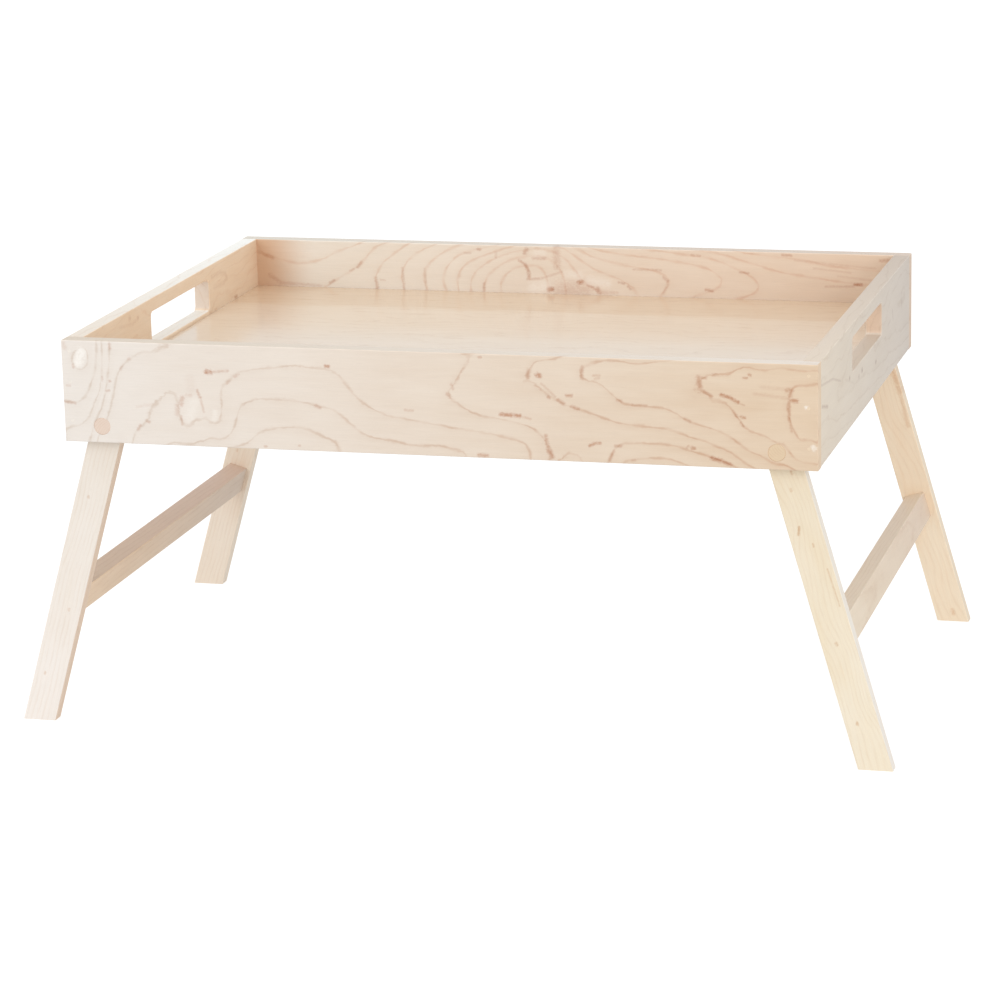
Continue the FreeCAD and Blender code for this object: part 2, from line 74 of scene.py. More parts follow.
class Bench:
    """Lays out the nodes of one tree. A value given to a node is either a number, a colour or another
    node's output."""

    def __init__(self, tree):
        self.tree = tree

    def lay(self, kind, **settings):
        made = self.tree.nodes.new(kind)
        for name, value in settings.items():
            setattr(made, name, value)
        return made

    def feed(self, socket, value):
        if isinstance(value, bpy.types.NodeSocket):
            self.tree.links.new(value, socket)
        elif value is not None:
            socket.default_value = value

    def calc(self, operation, *values, clamp=False):
        made = self.lay("ShaderNodeMath", operation=operation, use_clamp=clamp)
        for socket, value in zip(made.inputs, values):
            self.feed(socket, value)
        return made.outputs[0]

    def vec(self, operation, *values, out=0):
        made = self.lay("ShaderNodeVectorMath", operation=operation)
        for socket, value in zip(made.inputs, values):
            self.feed(socket, value)
        return made.outputs[out]

    def scaled(self, vector, factor):
        made = self.lay("ShaderNodeVectorMath", operation="SCALE")
        self.feed(made.inputs[0], vector)
        self.feed(made.inputs["Scale"], factor)
        return made.outputs[0]

    def parts(self, vector):
        made = self.lay("ShaderNodeSeparateXYZ")
        self.feed(made.inputs[0], vector)
        return made.outputs

    def joined(self, x, y, z):
        made = self.lay("ShaderNodeCombineXYZ")
        for socket, value in zip(made.inputs, (x, y, z)):
            self.feed(socket, value)
        return made.outputs[0]

    def noise(self, vector, scale=1.0, detail=2.0, rough=0.5, out="Factor"):
        made = self.lay("ShaderNodeTexNoise", noise_dimensions="3D")
        self.feed(made.inputs["Vector"], vector)
        made.inputs["Scale"].default_value = scale
        made.inputs["Detail"].default_value = detail
        made.inputs["Roughness"].default_value = rough
        return made.outputs[0 if out == "Factor" else "Color"]

    def ease(self, value, low, high, to_low=0.0, to_high=1.0):
        made = self.lay("ShaderNodeMapRange", interpolation_type="SMOOTHSTEP")
        for socket, v in zip(made.inputs, (value, low, high, to_low, to_high)):
            self.feed(socket, v)
        return made.outputs[0]

    def mix(self, share, first, second, how="MIX"):
        made = self.lay("ShaderNodeMix", data_type="RGBA", blend_type=how)
        for socket, v in zip((made.inputs[0], made.inputs[6], made.inputs[7]), (share, first, second)):
            self.feed(socket, v)
        return made.outputs[2]

    def mixed_value(self, share, first, second):
        made = self.lay("ShaderNodeMix", data_type="FLOAT")
        for socket, v in zip((made.inputs[0], made.inputs[2], made.inputs[3]), (share, first, second)):
            self.feed(socket, v)
        return made.outputs[0]

    def curve(self, value, stations, heights):
        """The smooth curve through (station, height), both from 0 to 1."""
        made = self.lay("ShaderNodeFloatCurve")
        points = made.mapping.curves[0].points
        while len(points) > 2:
            points.remove(points[1])
        quarters = np.arange(4 * len(stations) - 3) / 4
        finer = np.interp(quarters, np.arange(len(stations)), stations)
        finer = list(zip(finer, smooth(stations, heights, finer)[0]))
        points[0].location, points[-1].location = finer[0], finer[-1]
        for s, h in finer[1:-1]:
            points.new(s, h)
        for p in points:
            p.handle_type = "AUTO_CLAMPED"
        made.mapping.use_clip = True
        made.mapping.update()
        self.feed(made.inputs["Value"], value)
        return made.outputs[0]

    def use(self, group, **inputs):
        made = self.lay("ShaderNodeGroup", node_tree=group)
        for name, value in inputs.items():
            self.feed(made.inputs[name.replace("_", " ")], value)
        return made.outputs


def new_group(name, takes, gives):
    """An empty node group with named sockets: takes and gives are lists of (name, kind, starting value)."""
    tree = bpy.data.node_groups.new(name, "ShaderNodeTree")
    for side, sockets in (("INPUT", takes), ("OUTPUT", gives)):
        for label, kind, start in sockets:
            made = tree.interface.new_socket(label, in_out=side, socket_type="NodeSocket" + kind)
            if start is not None:
                made.default_value = start
    bench = Bench(tree)
    return tree, bench, bench.lay("NodeGroupInput").outputs, bench.lay("NodeGroupOutput").inputs


# ------------------------------------------------------------------ wood effects, built once

def make_log_rings():
    """Growth rings of a log that the board was sawn from, through its whole thickness, edges and ends
    included. Level = distance from the pith line / ring width + ripple. The pith line runs along the grain,
    sinks by 'Lean' per millimetre and wanders sideways with slow noise, so a flat face cuts the rings in
    pointed arches."""
    tree, b, take, give = new_group("log rings", [
        ("Position", "Vector", None), ("Pith across", "Float", 38), ("Pith depth", "Float", -40),
        ("Lean", "Float", 0.05), ("Drift", "Float", 0.0), ("Ring width", "Float", 6),
        ("Ripple", "Float", 0.5),
        ("Seed", "Float", 0)],
        [("Level", "Float", None)])
    x, y, z = b.parts(take["Position"])
    far = b.joined(b.calc("MULTIPLY", x, 0.011), b.calc("MULTIPLY_ADD", y, 0.02, take["Seed"]),
                   b.calc("MULTIPLY", z, 0.02))
    wander = b.calc("SUBTRACT", b.noise(far, 1, 1.5), 0.5)
    near = b.joined(b.calc("MULTIPLY", x, 0.06), b.calc("MULTIPLY_ADD", y, 0.16, take["Seed"]),
                    b.calc("MULTIPLY", z, 0.16))
    ripple = b.calc("SUBTRACT", b.noise(near, 1, 3, 0.55), 0.5)
    side = b.calc("SUBTRACT", y, b.calc("MULTIPLY_ADD", x, take["Drift"], take["Pith across"]))
    side = b.calc("MULTIPLY_ADD", wander, 22.0, side)
    deep = b.calc("SUBTRACT", z, b.calc("MULTIPLY_ADD", x, take["Lean"], take["Pith depth"]))
    reach = b.calc("SQRT", b.calc("ADD", b.calc("MULTIPLY", side, side), b.calc("MULTIPLY", deep, deep)))
    level = b.calc("DIVIDE", reach, take["Ring width"])
    level = b.calc("MULTIPLY_ADD", wander, 3.0, level)
    b.feed(give["Level"], b.calc("MULTIPLY_ADD", ripple, take["Ripple"], level))
    return tree


# How far T of a figured face runs past 1 at the board's long edges.
past_edge = 1.03


def make_station_rings(name, length, height, depth_slope, stations, table, swellings):
    """Ring levels of one figured face. At each station along the board the level across it is a polynomial
    in T = (across - height/2) / (height/2), whose coefficients run smoothly from station to station. Each
    swelling (along, across, reach along, reach across, rise) adds rise * exp(-(dx/reach)^2 - (dy/reach)^2),
    for eyes and sharp turns. The level also grows evenly with depth, so the same rings come out on the
    edges and ends."""
    tree, b, take, give = new_group(name, [("Position", "Vector", None)], [("Level", "Float", None)])
    x, y, z = b.parts(take["Position"])
    share = b.calc("DIVIDE", x, length, clamp=True)
    t = b.calc("MULTIPLY_ADD", y, 2 / height, -1.0)
    t = b.calc("MAXIMUM", b.calc("MINIMUM", t, past_edge), -past_edge)
    level = None
    for row in reversed(table):
        low, span = min(row), max(row) - min(row)
        coefficient = b.calc("MULTIPLY_ADD", b.curve(share, stations, [(v - low) / span for v in row]),
                             span, low)
        level = coefficient if level is None else b.calc("MULTIPLY_ADD", level, t, coefficient)
    for cx, cy, rx, ry, rise in swellings:
        dx, dy = b.calc("MULTIPLY_ADD", x, 1 / rx, -cx / rx), b.calc("MULTIPLY_ADD", y, 1 / ry, -cy / ry)
        far = b.calc("MULTIPLY_ADD", dx, dx, b.calc("MULTIPLY", dy, dy))
        level = b.calc("MULTIPLY_ADD", b.calc("EXPONENT", b.calc("MULTIPLY", far, -1.0)), rise, level)
    b.feed(give["Level"], b.calc("MULTIPLY_ADD", z, depth_slope, level))
    return tree


def make_uneven():
    """How far living wood strays from a straight growth, along, across and through the board: slow waves of
    about 'Waves' mm and small steps of about 'Steps' mm, longer along the grain than across it."""
    tree, b, take, give = new_group("uneven growth", [
        ("Position", "Vector", None), ("Waves", "Float", 1.6), ("Steps", "Float", 1.0)],
        [("Along", "Float", None), ("Across", "Float", None), ("Through", "Float", None)])
    p = take["Position"]
    slow = b.vec("SUBTRACT", b.noise(b.vec("MULTIPLY", p, (0.035, 0.07, 0.07)), 1, 2, out="Color"),
                 (0.5, 0.5, 0.5))
    fast = b.vec("SUBTRACT", b.noise(b.vec("MULTIPLY", p, (0.22, 0.42, 0.42)), 1, 2, out="Color"),
                 (0.5, 0.5, 0.5))
    stray = b.vec("ADD", b.scaled(slow, take["Waves"]), b.scaled(fast, take["Steps"]))
    for socket, value in zip(give, b.parts(stray)):
        b.feed(socket, value)
    return tree


def make_ring_line():
    """The thin dark line where one year's growth ends. Distance in mm = gap to the nearest whole level /
    steepness, the steepness coming from the levels one step along and one step across. Line =
    exp(-(distance/width)^2), and Halo = exp(-distance/2.6) on the side where the year's growth ends."""
    tree, b, take, give = new_group("ring line", [
        ("Level", "Float", 0), ("Level along", "Float", 0), ("Level across", "Float", 0),
        ("Step", "Float", 1.5), ("Width", "Float", 0.7), ("Swell", "Float", 1.0)],
        [("Line", "Float", None), ("Halo", "Float", None)])
    level = take["Level"]
    run = b.calc("DIVIDE", b.calc("SUBTRACT", take["Level along"], level), take["Step"])
    rise = b.calc("DIVIDE", b.calc("SUBTRACT", take["Level across"], level), take["Step"])
    steep = b.calc("SQRT", b.calc("ADD", b.calc("MULTIPLY_ADD", run, run, 0.0004),
                                  b.calc("MULTIPLY", rise, rise)))
    gap = b.calc("SUBTRACT", level, b.calc("ROUND", level))
    away = b.calc("DIVIDE", b.calc("ABSOLUTE", gap), steep)
    q = b.calc("DIVIDE", away, b.calc("MULTIPLY", take["Width"], take["Swell"]))
    b.feed(give["Line"], b.calc("EXPONENT", b.calc("MULTIPLY", b.calc("MULTIPLY", q, q), -1.0)))
    before = b.calc("LESS_THAN", gap, 0.0)
    b.feed(give["Halo"], b.calc("MULTIPLY", b.calc("EXPONENT", b.calc("DIVIDE", away, -2.6)), before))
    return tree


def make_soft_line():
    """Ring lines of a plain board, wide where the rings lie flat to the face: Line = exp(-((gap to the
    nearest whole level)/width)^2), with the year's late wood shading into it from one side only."""
    tree, b, take, give = new_group("soft ring line", [("Level", "Float", 0), ("Width", "Float", 0.07)],
                                    [("Line", "Float", None), ("Halo", "Float", None)])
    gap = b.calc("SUBTRACT", take["Level"], b.calc("ROUND", take["Level"]))
    q = b.calc("DIVIDE", gap, take["Width"])
    b.feed(give["Line"], b.calc("EXPONENT", b.calc("MULTIPLY", b.calc("MULTIPLY", q, q), -1.0)))
    year = b.calc("FRACT", take["Level"])
    b.feed(give["Halo"], b.calc("POWER", year, 5.0))
    return tree


def make_mark():
    """One dash or spot in the wood. Its middle line has the direction (Cosine, Sine) and is 2 'Reach' long,
    centred where both offsets are nought. How far = the length of (past the end along the line, off the
    line across it), in half widths; 'Ragged' is added so that the rim is torn, and Mark falls from Strength
    near nought to nothing at 2."""
    tree, b, take, give = new_group("grain mark", [
        ("Along", "Float", 0), ("Across", "Float", 0), ("Ragged", "Float", 0), ("Cosine", "Float", 1),
        ("Sine", "Float", 0), ("Back sine", "Float", 0), ("Offset along", "Float", 0),
        ("Offset across", "Float", 0), ("Reach", "Float", 0), ("Strength", "Float", 1)],
        [("Mark", "Float", None)])
    u = b.calc("MULTIPLY_ADD", take["Along"], take["Cosine"], take["Offset along"])
    u = b.calc("MULTIPLY_ADD", take["Across"], take["Sine"], u)
    v = b.calc("MULTIPLY_ADD", take["Along"], take["Back sine"], take["Offset across"])
    v = b.calc("MULTIPLY_ADD", take["Across"], take["Cosine"], v)
    past = b.calc("MAXIMUM", b.calc("SUBTRACT", b.calc("ABSOLUTE", u), take["Reach"]), 0.0)
    away = b.calc("SQRT", b.calc("MULTIPLY_ADD", v, v, b.calc("MULTIPLY", past, past)))
    b.feed(give["Mark"], b.ease(b.calc("ADD", away, take["Ragged"]), 2.0, 0.1, 0.0, take["Strength"]))
    return tree


def make_maple_face():
    """What raw sanded maple shows between its ring lines: slow clouds of pale and warm wood, fine fibres,
    short pore streaks, silvery ray flecks, darker end grain, and arrises worn paler and smoother in
    stretches. Out come its colour, its relief and its roughness."""
    tree, b, take, give = new_group("maple face", [
        ("Position", "Vector", None), ("Pale", "Color", (1, 1, 1, 1)), ("Warm", "Color", (1, 1, 1, 1)),
        ("Warm share", "Float", 0.5), ("Line", "Float", 0), ("Halo", "Float", 0),
        ("Line colour", "Color", (0.5, 0.3, 0.2, 1)), ("Line strength", "Float", 0.5), ("Marks", "Float", 0),
        ("Mark colour", "Color", (0.4, 0.2, 0.15, 1)), ("Pale spots", "Float", 0), ("End grain", "Float", 0),
        ("End colour", "Color", (0.91, 0.91, 0.91, 1)), ("Arris", "Float", 0), ("Fibre", "Float", 1),
        ("Cloud", "Float", 1), ("Seed", "Float", 0)],
        [("Colour", "Color", None), ("Height", "Float", None), ("Roughness", "Float", None)])
    p = b.vec("ADD", take["Position"], b.joined(0, take["Seed"], 0))
    cloud = b.calc("SUBTRACT", b.noise(b.vec("MULTIPLY", p, (0.014, 0.05, 0.05)), 1, 2.5), 0.5)
    wisps = b.calc("SUBTRACT", b.noise(b.vec("MULTIPLY", p, (0.03, 0.33, 0.33)), 1, 3), 0.5)
    fibre = b.calc("SUBTRACT", b.noise(b.vec("MULTIPLY", p, (0.045, 1.6, 1.6)), 1, 2, 0.65), 0.5)
    pores = b.ease(b.noise(b.vec("MULTIPLY", p, (0.16, 2.6, 2.6)), 1, 1), 0.63, 0.74)
    rays = b.ease(b.noise(b.vec("MULTIPLY", p, (0.55, 1.3, 1.3)), 1, 1), 0.62, 0.74)
    share = b.calc("MULTIPLY_ADD", b.calc("MULTIPLY", cloud, take["Cloud"]), 1.1, take["Warm share"])
    share = b.calc("MULTIPLY_ADD", wisps, 0.45, share, clamp=True)
    colour = b.mix(share, take["Pale"], take["Warm"])
    depth = b.calc("MULTIPLY", fibre, take["Fibre"])
    bright = b.calc("MULTIPLY_ADD", depth, 0.12, 1.0)
    bright = b.calc("MULTIPLY_ADD", pores, b.calc("MULTIPLY", take["Fibre"], -0.055), bright)
    bright = b.calc("MULTIPLY_ADD", rays, b.calc("MULTIPLY", take["Fibre"], 0.03), bright)
    worn = b.calc("MULTIPLY", take["Arris"], b.ease(b.noise(b.scaled(p, 0.12), 1, 2), 0.35, 0.6))
    bright = b.calc("MULTIPLY_ADD", worn, 0.07, bright)
    colour = b.mix(1.0, colour, b.joined(bright, bright, bright), "MULTIPLY")
    colour = b.mix(take["End grain"], colour, b.mix(1.0, colour, take["End colour"], "MULTIPLY"))
    patchy = b.ease(b.noise(b.vec("MULTIPLY", p, (0.05, 0.12, 0.12)), 1, 3), 0.33, 0.66, 0.3, 1.0)
    strength = b.calc("MULTIPLY", take["Line strength"], patchy)
    dark = b.calc("MULTIPLY", take["Line"], strength)
    dark = b.calc("MAXIMUM", dark, b.calc("MULTIPLY", b.calc("MULTIPLY", take["Halo"], strength), 0.3))
    colour = b.mix(dark, colour, b.mix(1.0, colour, take["Line colour"], "MULTIPLY"))
    colour = b.mix(take["Marks"], colour, b.mix(1.0, colour, take["Mark colour"], "MULTIPLY"))
    colour = b.mix(take["Pale spots"], colour, b.mix(0.75, colour, (1.0, 0.96, 0.9, 1)))
    b.feed(give["Colour"], colour)
    relief = b.calc("MULTIPLY_ADD", fibre, 0.7, 0.5)
    b.feed(give["Height"], b.calc("MULTIPLY_ADD", pores, -0.22, relief))
    rough = b.calc("MULTIPLY_ADD", depth, 0.16, 0.46)
    rough = b.calc("MULTIPLY_ADD", take["End grain"], 0.14, rough)
    rough = b.calc("MULTIPLY_ADD", worn, -0.1, rough)
    b.feed(give["Roughness"], b.calc("MULTIPLY_ADD", dark, 0.08, rough))
    return tree


log_rings, uneven_growth = make_log_rings(), make_uneven()
ring_line, soft_line = make_ring_line(), make_soft_line()
grain_mark, maple_face = make_mark(), make_maple_face()

# ------------------------------------------------------------------ figured faces

def ring_level(rows, stations, length, height, swellings, x, y):
    """Level of the growth rings at places on a figured face, as make_station_rings draws it."""
    t = np.clip(2 * y / height - 1, -past_edge, past_edge)
    here = smooth(stations, rows, np.clip(x / length, 0, 1))
    level = sum(row * t ** power for power, row in enumerate(here))
    for cx, cy, rx, ry, rise in swellings:
        level = level + rise * np.exp(-((x - cx) / rx) ** 2 - ((y - cy) / ry) ** 2)
    return level


def fit_rings(stations, powers, length, height, swellings, lines, between_lines, rounds=25):
    """Coefficients at each station that make the whole ring levels run along the lines traced on the face,
    by damped least squares in a few rounds. A line's miss is its distance in mm, and that of a place
    between lines is its miss in levels times spot_weight. Misses past about 6 count less and less (20 in
    the first rounds), no slope counts as less steep than a least one, and the coefficients change evenly
    from one station to the next."""
    places = [(x, y, level, 1) for level, line in lines for x, y in line]
    places += [(*spot, 0) for spot in between_lines]
    x, y, wanted, traced = np.array(places, float).T
    shape, count = (powers, len(stations)), powers * len(stations)
    gaps = np.diff(stations)
    step, nudge, spot_weight = 0.5, 1e-4, 4.0
    evenness, flatness, damping = 0.009, 0.09, 0.3

    def level_of(table, dx=0.0, dy=0.0):
        return ring_level(table, stations, length, height, swellings, x + dx, y + dy)

    def unevenness(table):
        bends = np.diff(np.diff(table, axis=1) / gaps, axis=1)
        return np.concatenate([evenness * bends.ravel(), flatness * table[2:].ravel()])

    even = np.array([unevenness(one.reshape(shape)) for one in np.eye(count)]).T
    table = np.zeros(shape)
    table[0] = wanted.mean()
    for turn in range(rounds):
        least, far = (0.1, 20.0) if turn < 4 else (0.045, 6.0)
        level = level_of(table)
        steep = np.hypot(level_of(table, dx=step) - level, level_of(table, dy=step) - level) / step
        weight = np.where(traced > 0, 1 / np.maximum(steep, least), spot_weight)
        weight = weight / np.sqrt(1 + ((level - wanted) * weight / far) ** 2)
        nudged = np.array([level_of(table + nudge * one.reshape(shape)) for one in np.eye(count)])
        change = (nudged - level).T / nudge
        moves = np.vstack([change * weight[:, None], even, damping * np.eye(count)])
        misses = np.concatenate([(wanted - level) * weight, -unevenness(table), np.zeros(count)])
        table = table + np.linalg.lstsq(moves, misses, rcond=None)[0].reshape(shape)
    return table.round(2)


def fit_even_rings(stations, powers, length, height, lines, between_lines):
    """The same for a face of gentle rings, in one round: misses are counted in levels, at about every 2 mm
    of a line and at least two places on each of its stretches, and the evenness grows with the power."""
    evenness, bend_length, flatness, spot_weight = (0.004, 0.006, 0.012, 0.02), 72, 0.25, 0.5
    places = []
    for level, line in lines:
        for (x1, y1), (x2, y2) in zip(line, line[1:]):
            parts = max(2, int(math.hypot(x2 - x1, y2 - y1) / 2))
            places += [(x1 + (x2 - x1) * k / parts, y1 + (y2 - y1) * k / parts, level, 1.0)
                       for k in range(parts)]
    places += [(*spot, spot_weight) for spot in between_lines]
    x, y, wanted, weight = np.array(places).T
    t = 2 * y / height - 1
    at = np.array(stations) * length
    single, gaps = np.eye(len(at)), np.diff(at)
    share = np.array([np.interp(x, at, one) for one in single]).T
    bends = np.diff(np.diff(single, axis=0) / gaps[:, None], axis=0) * math.sqrt(len(x)) * bend_length
    powered = np.eye(powers)
    rows = [np.hstack([share * (t ** power)[:, None] for power in range(powers)]) * weight[:, None]]
    rows += [np.kron(powered[power], bends * evenness[power]) for power in range(powers)]
    rows += [np.kron(powered[power], flatness * single) for power in range(2, powers)]
    rows = np.vstack(rows)
    wanted = np.concatenate([wanted * weight, np.zeros(len(rows) - len(x))])
    return np.linalg.lstsq(rows, wanted, rcond=None)[0].reshape(powers, len(at)).round(2)


# The growth-ring lines of the front board's outer face, followed on the photograph: (level, places
# along and across the board in mm). Between them are places with the level that keeps other lines away.
front_lines = [
    (8, [(8.3, 60), (8.8, 56.5), (11.5, 54.4), (14.5, 54.5), (17, 57), (19.5, 61), (21, 65), (20.8, 69),
        (18, 71.5), (13, 70), (9.5, 65), (558, 62), (550, 61), (544, 59.8), (540.5, 56), (540, 50),
        (539.5, 42), (540, 35), (542, 28), (546, 24.5), (552, 22), (558, 21)]),
    (7, [(27.5, 72), (27.8, 66), (27, 60), (25.5, 54), (22.5, 47), (20, 40), (17.5, 35), (14, 31),
        (10, 29.5), (5, 29.8), (1, 30.3), (558, 71.5), (540, 71.8), (525, 73), (512, 72), (505, 70),
        (495, 68), (487, 66.5), (481, 64.5), (476.5, 61), (476.5, 57.5), (480, 53), (485, 50), (490, 49),
        (495, 46), (500, 42), (503, 37), (505, 33), (508, 29.5), (513, 27), (520, 24), (525, 22.7),
        (530, 21), (534, 18), (538, 13), (543, 9.5), (550, 7), (557, 5.5)]),
    (6, [(31.8, 74), (31.5, 68), (31, 60), (30.5, 50), (29, 42), (27, 35), (24, 28), (21, 22), (17, 17.5),
        (14, 14), (10, 12.3), (6.5, 11), (2, 9), (450, 75), (440, 74), (425, 73.5), (415, 73.5), (405, 73),
        (398, 71.5), (394, 69), (391.5, 65), (392, 61), (397, 58.5), (403, 57), (409, 54.5), (412, 51),
        (414, 48), (417, 45.5), (422, 43.3), (435, 43), (445, 42), (452, 40), (458, 37.5), (465, 35),
        (470, 32), (477, 29), (485, 26), (495, 22), (502, 19.5), (508, 17), (512, 14), (515, 10), (518, 8),
        (523, 7.5), (528, 6)]),
    (5, [(38, 75), (37.5, 68), (36.8, 60), (36, 52), (35, 45), (34, 39), (32, 32), (29.5, 25), (26, 19),
        (374, 75), (366, 74), (360, 71.5), (355, 68), (352, 64), (352, 59.5), (357, 55.5), (361, 52),
        (365, 48), (370, 46), (374, 44), (378, 41.3), (384, 39.5), (390, 38), (396, 36.5), (402, 35),
        (408, 32), (415, 29.3), (425, 29), (440, 29), (450, 27), (460, 24), (470, 22), (480, 20), (488, 17),
        (495, 13.5), (500, 10), (505, 7), (509, 4), (513, 2)]),
    (4, [(79, 73.5), (75, 71.2), (70, 69.5), (65, 68.7), (60, 67), (55, 65), (52, 63.3), (49, 60), (46, 56),
        (43, 51.5), (41, 47), (39.5, 42), (38.5, 35), (37.5, 30), (36, 25), (33.5, 21), (31, 16), (28, 10),
        (308.5, 75), (305, 67), (303, 62), (299, 56), (296, 50), (293.5, 46), (295, 43), (300, 39),
        (305, 36), (312, 33), (320, 30.5), (330, 28.5), (340, 26.5), (350, 24.5), (355, 23), (360, 20.5),
        (363, 17), (365, 12), (367, 7), (369, 2), (377, 1), (381, 5.5), (387, 6), (391, 2.5), (410, 1),
        (412, 5), (415, 10), (418, 12.5), (425, 14.5), (435, 15.5), (450, 14.5), (460, 13.5), (466, 12),
        (472, 10.5), (480, 8.5), (487, 5.8), (495, 3.5), (500, 2)]),
    (3, [(55, 9), (57, 12), (59, 14), (62, 16.5), (65, 18.5), (66.5, 23), (67.3, 27.5), (69, 29.5),
        (72, 32), (74, 34.3), (77, 35.7), (82, 37.3), (86, 37.5), (88.5, 34), (89, 28), (89.5, 22),
        (91, 17.5), (93, 15.2), (96, 15.2), (99, 17), (102, 18.7), (105, 20.5), (108, 21.5), (112, 19),
        (115, 17.7), (118, 17.7), (121, 20.5), (122, 27), (121.5, 35), (122, 42), (124.5, 46), (128, 49.5),
        (131, 53), (136, 56.3), (140, 57.5), (147, 58.5), (155, 60), (165, 61), (180, 62), (190, 62),
        (200, 61), (208, 58.5), (213, 55.5), (216, 53), (219, 49), (221, 46), (223, 43), (228, 38),
        (231, 34), (236, 32.3), (245, 31), (252, 29), (257, 27), (264, 25), (275, 24.5), (290, 22.5),
        (300, 21), (310, 19.2), (320, 18), (335, 17.5), (343, 15), (348, 12), (352, 8), (352.8, 2),
        (425, 2), (430, 4), (440, 5.5), (449, 5), (457, 3.5), (465, 2)]),
    (2, [(80, 1), (85, 1.8), (92, 1.8), (100, 2), (105, 3.8), (108, 5.3), (112, 6.3), (118, 6.5),
        (124, 7.5), (128, 10), (131, 15), (133, 21), (134, 27), (137, 31.5), (142, 34.5), (150, 37),
        (160, 37.5), (170, 37.8), (178, 37.6), (185, 36), (190, 35.2), (196, 33), (200, 31.5), (210, 29.5),
        (216, 27), (220, 24), (223, 20.5), (226, 16.5), (231, 13.3), (238, 12.3), (245, 11.5), (253, 10),
        (260, 8.7), (268, 7.3), (275, 5.8), (290, 6.5), (299, 7), (303, 5), (303.7, 1)]),
    (1, [(140, 4), (145, 8), (150, 11), (156, 14.5), (163, 16.5), (170, 17.7), (178, 17.7), (183, 16.2),
        (190, 14.5), (197, 12), (202, 9), (206, 6.5), (212, 1)])]
front_between = [
    (57, 50, 3.5), (60, 40, 3.45), (50, 30, 3.45), (45, 15, 3.55), (100, 60, 3.55), (114, 40, 3.3),
    (98, 28, 3.25), (98, 38, 3.3), (75, 20, 2.8), (80, 15, 2.6), (100, 10, 2.6), (115, 12, 2.6),
    (3, 70, 7.45), (3, 50, 7.5), (9, 44, 7.55), (25, 73, 7.3), (14, 74, 7.7), (10, 5, 5.6), (20, 6, 5.2),
    (45, 5, 3.6), (75, 60, 3.7), (90, 50, 3.4), (14.5, 63, 8.6), (88, 65, 3.7), (110, 65, 3.55),
    (70, 10, 2.8), (105, 50, 3.5), (105, 58, 3.6), (105, 65, 3.65), (92, 74, 3.8), (98, 74, 3.75),
    (104, 74, 3.72), (110, 74, 3.7), (117, 72, 3.68), (117, 75, 3.7), (125, 74, 3.7), (135, 74, 3.7),
    (145, 74, 3.7), (36, 4, 3.8), (33, 8, 3.88), (39, 2, 3.7), (42, 8, 3.65), (14.5, 74, 7.55),
    (17, 75, 7.5), (12, 74, 7.55), (14.5, 76, 7.5), (7, 75, 7.6), (3, 75, 7.55), (141, 60, 3.1),
    (148, 70, 3.5), (47, 74, 4.4), (34, 1, 3.8), (31, 3, 3.9), (165, 70, 3.4), (190, 72, 3.4),
    (215, 72, 3.45), (215, 62, 3.3), (235, 55, 3.4), (240, 70, 3.55), (260, 50, 3.5), (260, 72, 3.6),
    (280, 60, 3.7), (285, 73, 3.8), (270, 38, 3.4), (285, 35, 3.5), (175, 28, 1.5), (175, 8, .6),
    (175, 1, .45), (200, 20, 1.5), (160, 3, .6), (190, 2, .55), (235, 5, 1.7), (260, 3, 1.7), (225, 3, 1.5),
    (225, 24, 2.4), (285, 2, 1.75), (300, 2, 1.9), (270, 15, 2.5), (310, 10, 2.5), (330, 5, 2.55),
    (340, 3, 2.6), (315, 2, 2.3), (320, 24, 3.5), (345, 19, 3.4), (330, 50, 4.45), (340, 66, 4.6),
    (320, 70, 4.3), (345, 38, 4.4), (325, 38, 4.3), (370, 65, 5.45), (380, 55, 5.4), (375, 73, 5.1),
    (385, 70, 5.6), (385, 74, 5.6), (375, 30, 4.6), (390, 22, 4.5), (400, 12, 4.3), (398, 4, 4.25),
    (373, 5, 4.15), (400, 45, 5.5), (430, 36, 5.5), (460, 30, 5.5), (490, 20, 5.4), (510, 8, 5.5),
    (420, 20, 4.4), (445, 21, 4.45), (480, 14, 4.5), (445, 10, 3.5), (475, 4, 3.4), (440, 2, 2.7),
    (420, 65, 6.4), (440, 55, 6.5), (460, 50, 6.6), (460, 68, 6.65), (475, 72, 6.6), (495, 73, 6.6),
    (450, 65, 6.55), (480, 40, 6.5), (500, 27, 6.5), (520, 16, 6.5), (505, 55, 7.4), (520, 45, 7.5),
    (520, 62, 7.5), (535, 68, 7.4), (550, 67, 7.5), (535, 30, 7.5), (550, 15, 7.5), (550, 40, 8.4),
    (550, 52, 8.4), (556, 55, 8.3), (545, 75.5, 6.7), (520, 75.8, 6.6), (555, 2, 6.7), (540, 3, 6.4),
    (400, 75.8, 5.8), (430, 75.9, 5.85), (345, 58, 4.55), (345, 62, 4.6), (348, 56, 4.65), (341, 60, 4.55),
    (275, 75, 3.7), (290, 75, 3.8), (300, 75.5, 3.9), (282, 74, 3.75), (265, 75, 3.65), (343, 75, 4.7),
    (350, 75.5, 4.75), (356, 75.5, 4.8), (470, 60, 6.75), (484, 58, 7.25), (482, 61, 7.2), (490, 60, 7.35),
    (473, 55, 6.75), (470, 66, 6.75), (230, 75, 3.5), (245, 75, 3.55)]
